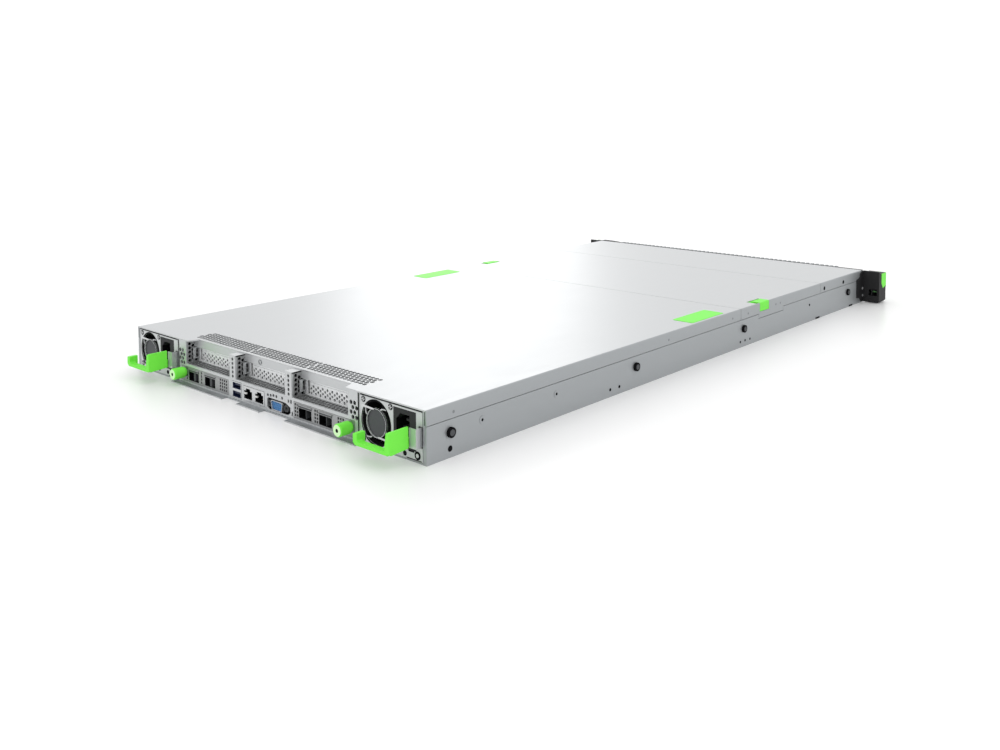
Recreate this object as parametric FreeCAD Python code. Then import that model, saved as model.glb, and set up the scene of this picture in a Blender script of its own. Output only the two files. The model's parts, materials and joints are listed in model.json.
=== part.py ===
import FreeCAD, Part
import math
import os

# One-unit rack server. Rear side with the connectors at +Y, drive side at -Y, base at Z = 0.
# Left and right are as seen from the drive side: left is -X. All sizes are in millimetres.
# Solids are built with Y = 0 on the rear face. When they are written they move along Y,
# so that the origin is the middle of the whole box, on the base.

# Body
BODY_W = 435.0
BODY_H = 43.0
SHEET = 1.2
FLANGE_Y = -800.0
SHELL_FRONT = 2.0
PLAY = 0.3
SEAT = 0.05
HALF_W = BODY_W / 2.0
UNDER = BODY_H - SHEET
FRONT_Y = FLANGE_Y + SHELL_FRONT

# Joggled side walls: the skirts of the covers lie flush with the lower wall
SEAM_Z = 30.5
SEAM_GAP = 0.5
DEEP_SEAM_Z = 25.6
WALL_IN = HALF_W - SHEET
UPPER_OUT = WALL_IN - PLAY
UPPER_IN = UPPER_OUT - SHEET
FLANGE_IN = WALL_IN - 2.6
SIDE_HOLE = (-24.9, 7.3)
SIDE_HOLE_R = 2.5
SIDE_SLOT_Y = (-650.0, -638.0)
SIDE_SLOT_Z = (20.0, 22.4)
STUD_R = 4.0
STUD_H = 2.4
STUD_Z = 20.1
STUD_Y = (-25.5, -274.4, -481.5, -751.7)

# Power supplies: two equal units, both with the fan towards +X
PSU_W = 73.5
PSU_H = 39.0
PSU_L = 185.0
PSU_WALL = 0.8
PSU_GAP = 0.5
PSU_X = FLANGE_IN - PSU_GAP - PSU_W / 2.0
PSU_Z = SHEET + PLAY
PSU_FAN_X = 17.1
PSU_FAN_Z = PSU_Z + PSU_H / 2.0
BAY_WALL_X = PSU_X - PSU_W / 2.0 - PSU_GAP
BAY_WALL_L = PSU_L + 5.0
INLET_W = 26.0
INLET_H = 30.7
INLET_X = -16.65
INLET_TOP = PSU_Z + PSU_H - 1.3
INLET_DEPTH = 26.0
RECESS_X = INLET_X + 2.1
RECESS_W = 15.6
RECESS_H = 24.4
RECESS_CORNER = 5.0
RECESS_TOP = INLET_TOP - 4.0
RECESS_DEPTH = 17.0
INLET_PIN = (4.0, 2.0)
HANDLE_REACH = 27.0
HANDLE_OUT = -28.9
HANDLE_IN = 13.0
HANDLE_LOW = 12.0
HANDLE_HIGH = 29.9
HANDLE_POST_HIGH = 21.4
HANDLE_BAR = 2.8
HANDLE_POST_W = 4.6
HANDLE_FOOT = 1.5
HANDLE_DEEP = 5.6
HANDLE_POST_DEEP = 8.5
HANDLE_TAB = 1.9
ROOT_OUT = HANDLE_OUT + 2.3
ROOT_T = 2.2
ROOT_Z = (13.0, 20.0)
LEAF_T = 0.7
LEAF_OUT = 5.9
LEAF_L = 24.0
LEAF_LOW = 13.2
LEAF_HIGH = 28.9
LEAF_TRAVEL = 1.2

# Rear lips of the base, between the power supplies
LIP = 7.5
LIP_END = BAY_WALL_X + 1.8
LIP_RETURN = 1.5
LIP_SPANS = [(52.5, LIP_END), (-8.0, 27.5), (-LIP_END, -46.5)]

# Expansion slots
SLOT_COUNT = 3
END_STRIP = 9.45
END_FIELD_H = 12.5
POST_W = 10.5
SLOT_PITCH = 2.0 * (BAY_WALL_X - END_STRIP) / SLOT_COUNT
SLOT_W = SLOT_PITCH - POST_W
SLOT_X = [SLOT_PITCH, 0.0, -SLOT_PITCH]
SLOT_DEPTH = 14.0
SLOT_FLOOR = 19.9
SLOT_RAIL_Z = 38.4
SLOT_RAIL_Y = 10.0
POST_PITCH = 5.6
POST_HOLE = 3.9
POCKET_PITCH = 11.2
POCKET_HOLE = 7.4
POCKET_WALL_PITCH = 6.2
POCKET_WALL_HOLE = 4.6
BRACKET_PITCH = 10.0
BRACKET_HOLE = 6.4
BRACKET_FIELD_H = 12.0
LUG_L = 8.0

# Covers
REAR_COVER_L = 475.0
MIDDLE_COVER_L = 199.0
COVER_GAP = 0.6
COVER_NOTCH = 10.0
COVER_NOTCH_IN = BAY_WALL_X - 11.2
COVER_NOTCH_OUT = BAY_WALL_X - 1.2
GRILLE_FROM = 13.5
GRILLE_L = 21.0
GRILLE_HALF = BAY_WALL_X - 9.2
GRILLE_SPANS = [(40.5, GRILLE_HALF), (-44.5, 37.0), (-GRILLE_HALF, -48.5)]
GRILLE_PITCH = 8.0
GRILLE_SLOT = 5.4
DEEP_SKIRT = (-REAR_COVER_L - 100.0, -REAR_COVER_L - 40.0)
LATCH_SPAN = (-REAR_COVER_L - 64.0, -REAR_COVER_L - 33.0)
LATCH_TOP_W = 17.0
LATCH_SIDE_H = 11.0
LATCH_TRAVEL = 2.5
LATCH_PROUD = 0.3
TONGUE_W = 14.0
TONGUE_T = 1.5
PAD_W = 30.0
PAD_L = 63.0
PAD_AT = -REAR_COVER_L + 59.5
PAD_INSET = 2.5
PAD_T = 0.9
PAD_SINK = 0.6
TEETH = 9
TOOTH_W = 4.0
TOOTH_L = 2.4

# Network modules with captive thumbscrews
MODULE_W = 82.0
MODULE_SIDE = 5.5
MODULE_X = BAY_WALL_X - SHEET - MODULE_SIDE - MODULE_W / 2.0
MODULE_LOW = 2.9
MODULE_HIGH = 17.0
MODULE_L = 108.0
MODULE_VENT = 2.6
MODULE_VENT_PITCH = 4.1
THUMB_X = MODULE_X + 35.5
THUMB_Z = 11.3
THUMB_R = 5.5
THUMB_L = 13.6
THUMB_SIDES = 16
THUMB_BOSS = (-12.0, -4.0)
PIN_SIDES = 10
SHANK_R = 1.9
SHANK_L = 9.0
SHANK_PLAY = 0.15
CAGE_W = 19.8
CAGE_H = 9.8
CAGE_L = 48.0
CAGE_WALL = 0.8
CAGE_LIFT = 1.9
CAGE_X = {1: (MODULE_X + 19.4, MODULE_X - 9.1), 2: (-MODULE_X + 25.3, -MODULE_X - 3.2)}
VENT_X = {1: (MODULE_X + 5.1, MODULE_X - 25.5, MODULE_X - 32.5)}
VENT_X[2] = (-MODULE_X + 11.1, -MODULE_X - 17.9, -MODULE_X - 23.9)

# Ports between the network modules
PORT_DEPTH = 16.0
PORT_PROUD = 0.2
PORT_BACK = 2.0
USB_X = 37.0
USB_W = 14.6
USB_LOW = 2.4
USB_HIGH = 17.8
USB_MOUTH_W = 13.1
USB_MOUTH_H = 5.7
LAN_X = (18.8, 0.7)
LAN_W = 14.6
LAN_LOW = 3.4
LAN_HIGH = 16.6
VGA_X = -23.6
VGA_Z = 8.2
VGA_W = 17.2
VGA_H = 8.6
VGA_OUT = 4.6
VGA_SHELL = 0.5
VGA_FLOOR = -1.4
VGA_POST_X = 12.0
VGA_CUT_H = 11.2

# Main board and what stands on it
BOARD_Z = 4.0
BOARD_T = 1.6
BOARD_FRONT = -560.0
BOARD_HALF = HALF_W - 12.5
BOARD_TONGUE = 47.0
POST_R = 3.2
CPU_X = 105.0
CPU_Y = -400.0
SOCKET_W = 56.0
SOCKET_L = 76.0
SOCKET_H = 6.0
COOLER_W = 78.0
COOLER_L = 108.0
COOLER_TOP = 39.0
COOLER_BASE = 4.0
COOLER_FINS = 11
DIMM_L = 133.3
DIMM_T = 3.6
DIMM_H = 30.0
DIMM_PITCH = 11.0
DIMM_ROWS = 4
DIMM_FROM = COOLER_W / 2.0 + 6.5
DIMM_SOCKET_W = 6.4
DIMM_SOCKET_L = 142.0
DIMM_SOCKET_H = 5.0
RISER_INSET = 2.0
RISER_L = 90.0
RISER_TAIL = 40.0
RISER_TOP = 38.0
RISER_SLOT_W = 9.0
RISER_SLOT_Z = (26.0, 33.0)
RISER_MOUTH_Z = (28.6, 30.4)

# Fans
FAN_SIZE = 40.0
FAN_BORE = 18.0
FAN_SIDES = 12
FAN_TURN = math.pi / FAN_SIDES
FAN_COUNT = 6
FAN_PITCH = (BODY_W - 27.0) / FAN_COUNT
FAN_L = 56.0
FAN_FRONT = -632.0
MOTOR_PLATE = 3.0
STRUT_W = 2.0
PSU_FAN_L = 28.0
PSU_FAN_SIZE = 37.0
GUARD_OUT = 12.4
GUARD_IN = 11.5
HUB_R = 11.0
BLADES = 5
BLADE_R = 16.4
BLADE_PITCH = 42.0
BLADE_CAMBER = 1.3
BLADE_T = 1.2
ROTOR_L = 14.0
AXLE_PLAY = 0.08

# Drive bays
TRAY_COUNT = 4
TRAY_MARGIN = 8.6
TRAY_PITCH = (BODY_W - TRAY_MARGIN) / TRAY_COUNT
TRAY_W = TRAY_PITCH - 2.2
TRAY_LOW = SHEET + 0.4
TRAY_HIGH = 30.2
TRAY_BEZEL = 12.0
TRAY_DECK = 1.0
TRAY_RAIL = 1.4
TRAY_RAIL_HIGH = 20.0
DISK_W = TRAY_W - 2.0 * TRAY_RAIL
DISK_H = 26.1
DISK_L = 147.0
DISK_STEP = 3.0
CAGE_SHELF_Z = 30.5
CAGE_SHELF_T = 1.0
CAGE_BACK = -642.0
CAGE_VENT_Y = (CAGE_BACK - 63.0, CAGE_BACK - 23.0)
CAGE_VENT_HALF = TRAY_W / 2.0 - 12.2
BACKPLANE_T = 1.6
BACKPLANE_GAP_Z = (22.0, 29.0)
DRIVE_SOCKET = (22.0, 7.0)
DRIVE_SOCKET_Z = (4.0, 11.0)

# Tray levers
LEVER_L = TRAY_W - 26.4
LEVER_T = 4.0
LEVER_H = 18.0
LEVER_Z = (TRAY_LOW + TRAY_HIGH) / 2.0
LEVER_PIN_R = 1.2
LEVER_PIN_OUT = 1.8
LEVER_SWING = 3.3
LEVER_INSET = 5.0
WINDOWS = 3
WINDOW_W = 17.0
WINDOW_H = 12.0
WINDOW_PITCH = 23.0
WINDOW_FROM = 9.0

# Front strip with its buttons and sockets
STRIP_DEPTH = 12.0
STRIP_FACE = 3.0
STRIP_LOW = CAGE_SHELF_Z + CAGE_SHELF_T
STRIP_Z = (STRIP_LOW + UNDER) / 2.0
POWER_X = HALF_W - 21.5
POWER_R = 3.4
ID_X = POWER_X - 15.0
ID_R = 2.4
BUTTON_SIDES = 12
BUTTON_OUT = 4.6
BUTTON_FOOT = 1.2
FRONT_USB_X = (ID_X - 23.0, ID_X - 43.0)
FRONT_USB = (13.2, 4.8)
STRIP_VENTS = 10
STRIP_VENT_W = 22.0
STRIP_VENT_H = 5.2
STRIP_VENT_PITCH = 30.0

# Rack ears
EAR_W = 23.7
EAR_DEPTH = 22.0
EAR_IN = HALF_W
EAR_OUT = HALF_W + EAR_W
EAR_LOW = 0.9
EAR_HIGH = 42.3
EAR_PLATE = (1.5, 19.0)
EAR_PLATE_Z = (4.0, 38.0)
RACK_HOLE_X = EAR_OUT - 8.65
RACK_HOLE_Z = 30.0
RACK_HOLE_R = 3.4
EAR_PIVOT = (EAR_OUT - 2.2, FLANGE_Y - 5.0)
EAR_LEVER_X = EAR_OUT - 4.4
EAR_LEVER_LOW = 19.5
HOOK_IN = EAR_OUT - 11.2
HOOK_OUT = EAR_OUT - 4.8
HOOK_LOW = 10.8

Y_SHIFT = (EAR_DEPTH - FLANGE_Y - HANDLE_REACH) / 2.0


def vec(axis, at, a, b):
    """A point of the plane across an axis; a and b are the two other axes in X, Y, Z order."""
    if axis == "X":
        return FreeCAD.Vector(at, a, b)
    if axis == "Y":
        return FreeCAD.Vector(a, at, b)
    return FreeCAD.Vector(a, b, at)


def unit(axis):
    return FreeCAD.Vector(axis == "X", axis == "Y", axis == "Z")


def about(centre, half):
    """The span of that half width about a middle."""
    return (centre - half, centre + half)


def box(x, y, z):
    """A box from three spans."""
    corner = FreeCAD.Vector(min(x), min(y), min(z))
    return Part.makeBox(abs(x[1] - x[0]), abs(y[1] - y[0]), abs(z[1] - z[0]), corner)


def rod(axis, centre, start, end, radius):
    """A cylinder along an axis; centre holds the two other coordinates."""
    base = vec(axis, min(start, end), centre[0], centre[1])
    return Part.makeCylinder(radius, abs(end - start), base, unit(axis))


def outline(axis, at, points):
    corners = [vec(axis, at, a, b) for a, b in points]
    return Part.makePolygon(corners + corners[:1])


def plate(axis, span, points, holes=()):
    """A flat plate between two coordinates of an axis; each hole is a list of points."""
    at = min(span)
    wires = [outline(axis, at, corners) for corners in [points, *holes]]
    face = Part.makeFace(wires, "Part::FaceMakerBullseye")
    return face.extrude(unit(axis) * abs(span[1] - span[0]))


def rect(a, b):
    return [(min(a), min(b)), (max(a), min(b)), (max(a), max(b)), (min(a), max(b))]


def polygon(centre, radius, sides, turn=0.0):
    angles = [turn + math.tau * i / sides for i in range(sides)]
    return [(centre[0] + radius * math.cos(t), centre[1] + radius * math.sin(t)) for t in angles]


def lattice(a_span, b_span, pitch, hole, sides=6):
    """Staggered holes that fill a rectangle: every second column is shifted by half a pitch."""
    step = pitch * math.sqrt(3.0) / 2.0
    columns = int((abs(a_span[1] - a_span[0]) - hole) / step) + 1
    first_a = (a_span[0] + a_span[1] - (columns - 1) * step) / 2.0
    middle = (b_span[0] + b_span[1]) / 2.0
    halves = int((abs(b_span[1] - b_span[0]) - hole) / (pitch / 2.0))
    turn = 0.0 if sides == 6 else math.pi / 4.0
    cells = []
    for i in range(columns):
        for j in range(i % 2, halves + 1, 2):
            centre = (first_a + i * step, middle + (j - halves / 2.0) * pitch / 2.0)
            cells.append(polygon(centre, hole / 2.0, sides, turn))
    return cells


def fused(shapes):
    solid = shapes[0].fuse(shapes[1:]) if len(shapes) > 1 else shapes[0]
    return solid.removeSplitter()


def cut(solid, tools):
    return solid.cut(Part.makeCompound(tools))


def mirror_x(shape):
    return shape.mirror(FreeCAD.Vector(0, 0, 0), FreeCAD.Vector(1, 0, 0))


def moved(shape, x=0.0, y=0.0, z=0.0):
    copy = shape.copy()
    copy.translate(FreeCAD.Vector(x, y, z))
    return copy


def save(name, *shapes):
    """Write the solids of one node, moved to the frame whose origin is under the middle."""
    solids = [moved(solid, y=Y_SHIFT) for shape in shapes for solid in shape.Solids]
    result = solids[0] if len(solids) == 1 else Part.makeCompound(solids)
    result.exportStep(os.path.join("parts", name + ".step"))


# Chassis
def side_wall(span, seam):
    """One stretch of the right-hand wall, joggled inwards above the seam."""
    low = seam - SEAM_GAP / 2.0
    points = [(HALF_W, 0.0), (HALF_W, low), (UPPER_OUT, low), (UPPER_OUT, UNDER), (UPPER_IN, UNDER)]
    points += [(UPPER_IN, low - SHEET), (WALL_IN, low - SHEET), (WALL_IN, 0.0)]
    return plate("Y", span, points)


def right_wall():
    """The whole wall with its joggle, a snap-pin hole, the latch window and a slot."""
    stretches = [(FRONT_Y, DEEP_SKIRT[0], SEAM_Z), (*DEEP_SKIRT, DEEP_SEAM_Z), (DEEP_SKIRT[1], 0.0, SEAM_Z)]
    wall = fused([side_wall((front, back), seam) for front, back, seam in stretches])
    through = (UPPER_IN - 1.0, HALF_W + 1.0)
    window_y = (LATCH_SPAN[0] - PLAY, LATCH_SPAN[1] + PLAY)
    window = box(through, window_y, (BODY_H - LATCH_SIDE_H - PLAY, BODY_H))
    slot = box(through, SIDE_SLOT_Y, SIDE_SLOT_Z)
    return cut(wall, [rod("X", SIDE_HOLE, *through, SIDE_HOLE_R), window, slot])


def base_sheet():
    """The base with three flat lips along the rear edge."""
    points = [(-HALF_W, 0.0), (-HALF_W, FRONT_Y), (HALF_W, FRONT_Y), (HALF_W, 0.0)]
    for low, high in LIP_SPANS:
        points += [(high, LIP_RETURN if high < LIP_END else 0.0), (high, LIP)]
        points += [(low, LIP), (low, LIP_RETURN if low > -LIP_END else 0.0)]
    return plate("Z", (0.0, SHEET), points)


def board_posts():
    """Six-sided posts that carry the main board."""
    out = BOARD_HALF - 15.0
    tongue = BOARD_TONGUE - 5.0
    places = [(x, y) for x in (-out, out) for y in (-BAY_WALL_L - 60.0, CPU_Y + 5.0, BOARD_FRONT + 20.0)]
    places += [(x, y) for x in (-tongue, tongue) for y in (-PORT_DEPTH - 24.0, -MODULE_L - 42.0)]
    return [plate("Z", (SHEET, BOARD_Z), polygon(at, POST_R, 6)) for at in places]


def chassis_tray():
    wall = right_wall()
    flange = box((FLANGE_IN, WALL_IN), (-SHEET, 0.0), (SHEET, UNDER))
    return fused([base_sheet(), wall, mirror_x(wall), flange, mirror_x(flange)])


def rail_studs():
    """Studs on both side walls, for the slide rails of a rack."""
    studs = [rod("X", (y, STUD_Z), HALF_W, HALF_W + STUD_H, STUD_R) for y in STUD_Y]
    return studs + [mirror_x(stud) for stud in studs]


# Rear frame
def port_cutouts():
    """Openings for the network modules, the stacked sockets and the paired sockets."""
    module_z = (MODULE_LOW - PLAY, MODULE_HIGH + PLAY)
    cutouts = [rect(about(side * MODULE_X, MODULE_W / 2.0 + PLAY), module_z) for side in (1, -1)]
    cutouts.append(rect(about(USB_X, USB_W / 2.0 + PLAY), (USB_LOW - PLAY, USB_HIGH + PLAY)))
    lan = (LAN_X[1] - LAN_W / 2.0 - PLAY, LAN_X[0] + LAN_W / 2.0 + PLAY)
    cutouts.append(rect(lan, (LAN_LOW - PLAY, LAN_HIGH + PLAY)))
    return cutouts


def vga_cutout():
    """An eight-cornered opening, wide enough for the two jack posts."""
    half = VGA_POST_X + 2.9
    tall = VGA_CUT_H / 2.0
    cut_a = 3.2
    cut_b = tall - 2.4
    points = [(-half, -tall + cut_b), (-half + cut_a, -tall), (half - cut_a, -tall), (half, -tall + cut_b)]
    points += [(half, tall - cut_b), (half - cut_a, tall), (-half + cut_a, tall), (-half, tall - cut_b)]
    return [(VGA_X + a, VGA_Z + b) for a, b in points]


def post_holes():
    """Air holes: one column on each post, two columns on each end strip."""
    z_span = (SLOT_FLOOR + 1.0, SLOT_RAIL_Z)
    cells = []
    for centre in SLOT_X[:2]:
        cells += lattice(about(centre - SLOT_PITCH / 2.0, 2.0), z_span, POST_PITCH, POST_HOLE)
    end = SLOT_X[0] + SLOT_W / 2.0 + 6.0
    end_z = (MODULE_HIGH + 1.0, SLOT_FLOOR + END_FIELD_H)
    for side in (1, -1):
        cells += lattice(about(side * end, 4.6), end_z, POST_PITCH, POST_HOLE)
    return cells


def frame_face():
    """The rear face with its posts, open at the slots, with cut-outs for modules and ports."""
    points = [(BAY_WALL_X, SHEET), (BAY_WALL_X, UNDER)]
    for centre in SLOT_X:
        points += [(centre + SLOT_W / 2.0, UNDER), (centre + SLOT_W / 2.0, SLOT_FLOOR)]
        points += [(centre - SLOT_W / 2.0, SLOT_FLOOR), (centre - SLOT_W / 2.0, UNDER)]
    points += [(-BAY_WALL_X, UNDER), (-BAY_WALL_X, SHEET)]
    return plate("Y", (-SHEET, 0.0), points, port_cutouts() + [vga_cutout()] + post_holes())


def slot_pocket(centre):
    """Perforated floor and two side walls of one expansion slot, and the rail over it."""
    half = SLOT_W / 2.0
    deep = (-SLOT_DEPTH, -SHEET)
    floor_y = (-SLOT_DEPTH + 1.2, -SHEET - 0.8)
    floor_cells = lattice(about(centre, half - 1.0), floor_y, POCKET_PITCH, POCKET_HOLE, 4)
    floor = plate("Z", (SLOT_FLOOR - SHEET, SLOT_FLOOR), rect(about(centre, half + SHEET), deep), floor_cells)
    wall_y = (-SLOT_DEPTH + 1.0, -SHEET - 0.5)
    wall_z = (SLOT_FLOOR + 1.0, SLOT_RAIL_Z)
    wall_cells = lattice(wall_y, wall_z, POCKET_WALL_PITCH, POCKET_WALL_HOLE, 4)
    wall_points = rect(deep, (SLOT_FLOOR, UNDER))
    left = plate("X", (centre + half, centre + half + SHEET), wall_points, wall_cells)
    right = plate("X", (centre - half - SHEET, centre - half), wall_points)
    rail = box(about(centre, half), (-SLOT_RAIL_Y - SHEET, -SLOT_RAIL_Y), (SLOT_RAIL_Z, UNDER))
    shelf_y = (-SLOT_DEPTH, -SLOT_RAIL_Y - SHEET)
    shelf = box(about(centre, half), shelf_y, (SLOT_RAIL_Z, SLOT_RAIL_Z + SHEET))
    return [floor, left, right, rail, shelf]


def thumb_boss(side):
    """A threaded block on a bay wall that takes the shank of a thumbscrew."""
    span = (side * (THUMB_X - 4.0), side * (BAY_WALL_X - SHEET))
    bore = polygon((side * THUMB_X, THUMB_Z), SHANK_R + PLAY, PIN_SIDES)
    return plate("Y", THUMB_BOSS, rect(span, about(THUMB_Z, 4.5)), [bore])


def rear_frame():
    pieces = [frame_face()]
    for centre in SLOT_X:
        pieces += slot_pocket(centre)
    for side in (1, -1):
        wall_x = (side * (BAY_WALL_X - SHEET), side * BAY_WALL_X)
        pieces += [box(wall_x, (-BAY_WALL_L, -SHEET), (SHEET, UNDER)), thumb_boss(side)]
    return fused(pieces)


def slot_bracket(centre):
    """The cover bracket behind one slot: air holes, a narrow slot and a bent lug."""
    half = SLOT_W / 2.0 + SHEET
    edge = centre + half
    field_z = (SLOT_FLOOR + 1.0, SLOT_FLOOR + 1.0 + BRACKET_FIELD_H)
    cells = lattice((centre - half + 5.0, edge - 8.0), field_z, BRACKET_PITCH, BRACKET_HOLE, 4)
    cells.append(rect((edge - 5.6, edge - 4.4), (SLOT_FLOOR + 1.5, SLOT_RAIL_Z - 2.5)))
    tall = (SLOT_FLOOR - SHEET, SLOT_RAIL_Z + SHEET)
    sheet = plate("Y", (-SLOT_DEPTH - 1.0, -SLOT_DEPTH), rect(about(centre, half), tall), cells)
    lug_y = (-SLOT_DEPTH, -SLOT_DEPTH + LUG_L)
    lug_hole = rect((lug_y[0] + 2.6, lug_y[0] + 5.2), (SLOT_FLOOR + 5.0, SLOT_RAIL_Z - 4.0))
    lug_points = rect(lug_y, (SLOT_FLOOR + 3.0, SLOT_RAIL_Z - 2.0))
    return fused([sheet, plate("X", (edge - 3.2, edge - 2.2), lug_points, [lug_hole])])


# Ports
def usb_ports():
    """Two stacked sockets in one shell, each with its contact tongue."""
    shell = box(about(USB_X, USB_W / 2.0), (-PORT_DEPTH, PORT_PROUD), (USB_LOW, USB_HIGH))
    back = -PORT_DEPTH + PORT_BACK
    mouths = []
    tongues = []
    for low in (USB_LOW + 0.9, USB_HIGH - 0.9 - USB_MOUTH_H):
        mouths.append(box(about(USB_X, USB_MOUTH_W / 2.0), (back, 1.0), (low, low + USB_MOUTH_H)))
        tongues.append(box(about(USB_X, USB_MOUTH_W / 2.0 - 1.0), (back, -1.5), (low + 2.9, low + 4.7)))
    return fused([cut(shell, mouths)] + tongues)


def network_ports():
    """Two eight-pole sockets side by side, each mouth stepped for its plug's latch."""
    edge = (LAN_X[1] - LAN_W / 2.0, LAN_X[0] + LAN_W / 2.0)
    shell = box(edge, (-PORT_DEPTH, PORT_PROUD), (LAN_LOW, LAN_HIGH))
    low = LAN_LOW + 1.6
    half = 5.9
    key = 3.2
    points = [(-half, low), (half, low), (half, low + 6.8), (key, low + 6.8), (key, low + 9.0)]
    points += [(-key, low + 9.0), (-key, low + 6.8), (-half, low + 6.8)]
    mouths = []
    for centre in LAN_X:
        mouths.append(plate("Y", (-PORT_DEPTH + PORT_BACK, 1.0), [(centre + a, b) for a, b in points]))
    return cut(shell, mouths)


def d_outline(width, height, slant):
    """The D of a fifteen-pole socket, wider at its upper side."""
    half = width / 2.0
    tall = height / 2.0
    points = [(-half + slant, -tall), (half - slant, -tall), (half, tall - 1.2), (half - 1.2, tall)]
    points += [(-half + 1.2, tall), (-half, tall - 1.2)]
    return [(VGA_X + a, VGA_Z + b) for a, b in points]


def vga_port():
    """A D-shaped metal shell between two six-sided jack posts on one flange."""
    base = -SHEET - 0.6
    flange = box(about(VGA_X, VGA_POST_X + 3.0), (-PORT_DEPTH, base), about(VGA_Z, 5.4))
    shell = plate("Y", (base, VGA_OUT), d_outline(VGA_W, VGA_H, 1.6))
    inner = d_outline(VGA_W - 2.0 * VGA_SHELL, VGA_H - 2.0 * VGA_SHELL, 1.5)
    posts = []
    for side in (-1, 1):
        at = (VGA_X + side * VGA_POST_X, VGA_Z)
        posts.append(plate("Y", (base, 3.8), polygon(at, 2.6, 6), [polygon(at, 1.4, 8)]))
    return fused([flange, shell.cut(plate("Y", (VGA_FLOOR, VGA_OUT + 1.0), inner))] + posts)


def vga_insert():
    """The moulded contact block that fills the metal shell."""
    inner = d_outline(VGA_W - 2.0 * VGA_SHELL - 0.2, VGA_H - 2.0 * VGA_SHELL - 0.2, 1.5)
    return plate("Y", (VGA_FLOOR, VGA_OUT - 0.8), inner)


# Network modules
def fin_block(x_span, y_span, low, high, base, fins):
    """A cooler of upright fins on a base, drawn as one comb and extruded along Y."""
    pitch = (x_span[1] - x_span[0]) / (fins - 0.6)
    blade = 0.4 * pitch
    points = [(x_span[0], low)]
    for i in range(fins):
        start = x_span[0] + i * pitch
        if i:
            points.append((start, low + base))
        points += [(start, high), (start + blade, high)]
        if i < fins - 1:
            points.append((start + blade, low + base))
    points.append((x_span[0] + (fins - 1) * pitch + blade, low))
    return plate("Y", y_span, points)


def module_face(number, side, mouth_half, mouth_z):
    """Face plate with two cage mouths, columns of air holes and the bore of the thumbscrew."""
    holes = [polygon((side * THUMB_X, THUMB_Z), SHANK_R + SHANK_PLAY, PIN_SIDES)]
    holes += [rect(about(x, mouth_half), mouth_z) for x in CAGE_X[number]]
    for x in VENT_X[number]:
        for row in range(3):
            z = MODULE_LOW + 3.0 + MODULE_VENT_PITCH * row
            holes.append(rect(about(x, MODULE_VENT / 2.0), about(z, MODULE_VENT / 2.0)))
    points = rect(about(side * MODULE_X, MODULE_W / 2.0), (MODULE_LOW, MODULE_HIGH))
    return plate("Y", (-SHEET, 0.0), points, holes)


def network_module(number, side):
    """A card behind a face plate, with two transceiver cages and a finned cooler."""
    low = MODULE_LOW + CAGE_LIFT
    mouth_z = (low + CAGE_WALL, low + CAGE_H - CAGE_WALL)
    mouth_half = CAGE_W / 2.0 - CAGE_WALL
    card_x = (side * (MODULE_X - MODULE_W / 2.0 + 1.5), side * (THUMB_X - 5.0))
    pieces = [module_face(number, side, mouth_half, mouth_z)]
    pieces.append(box(card_x, (-MODULE_L, -SHEET), (low - BOARD_T, low)))
    lip_z = (MODULE_HIGH - 1.9, MODULE_HIGH - 0.9)
    for x in CAGE_X[number]:
        shell = box(about(x, CAGE_W / 2.0), (-CAGE_L, -SHEET), (low, low + CAGE_H))
        pieces.append(shell.cut(box(about(x, mouth_half), (-CAGE_L + 6.0, 0.0), mouth_z)))
        pieces.append(box(about(x, CAGE_W / 2.0 - 1.0), (-SHEET, 0.9), lip_z))
    middle = sum(CAGE_X[number]) / 2.0
    cooler_y = (-MODULE_L + 8.0, -CAGE_L - 14.0)
    pieces.append(fin_block(about(middle, 20.0), cooler_y, low, low + CAGE_H - 0.8, 2.0, 5))
    return fused(pieces)


def thumbscrew(side):
    """A many-sided knob with a chamfered rim and a hexagon socket, on a shank."""
    tip = PLAY + THUMB_L
    neck = 2.6
    centre = (0.0, 0.0)
    grip = plate("Y", (neck, tip), polygon(centre, THUMB_R, THUMB_SIDES))
    grip = grip.makeChamfer(0.9, [edge for edge in grip.Edges if edge.BoundBox.YMin > tip - 0.01])
    collar = plate("Y", (PLAY, neck), polygon(centre, THUMB_R - 1.2, 8))
    shank = plate("Y", (-SHANK_L, PLAY), polygon(centre, SHANK_R, PIN_SIDES))
    socket = plate("Y", (tip - 4.5, tip + 1.0), polygon(centre, 2.6, 6))
    knob = fused([grip, collar, shank]).cut(socket)
    return moved(knob, x=side * THUMB_X, z=THUMB_Z)


# Power supplies
def psu_case():
    """A sheet box round a hollow, with a finger guard stamped into its rear face."""
    half = PSU_W / 2.0
    top = PSU_Z + PSU_H
    outer = box((-half, half), (-PSU_L, 0.0), (PSU_Z, top))
    inner_y = (-PSU_L + PSU_WALL, -SHEET)
    inner = box(about(0.0, half - PSU_WALL), inner_y, (PSU_Z + PSU_WALL, top - PSU_WALL))
    fan = plate("Y", (-SHEET - 1.0, 1.0), polygon((PSU_FAN_X, PSU_FAN_Z), FAN_BORE, 2 * FAN_SIDES))
    inlet_z = (INLET_TOP - INLET_H - SEAT, INLET_TOP + SEAT)
    inlet = box(about(INLET_X, INLET_W / 2.0 + SEAT), (-SHEET - 1.0, 1.0), inlet_z)
    leaf = box((-half - 1.0, -half + 4.6), (-LEAF_L - 1.6, 1.0), (LEAF_LOW - 0.6, LEAF_HIGH + 0.6))
    vents = [box(about(-25.5 + 13.0 * i, 4.5), (-PSU_L - 1.0, -PSU_L + 2.0), (24.0, 36.0)) for i in range(4)]
    tail = box((-26.0, 10.0), (-PSU_L - 9.0, -PSU_L + PSU_WALL), (9.0, 10.6))
    return fused([cut(outer, [inner, fan, inlet, leaf] + vents), finger_guard(), tail])


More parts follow.
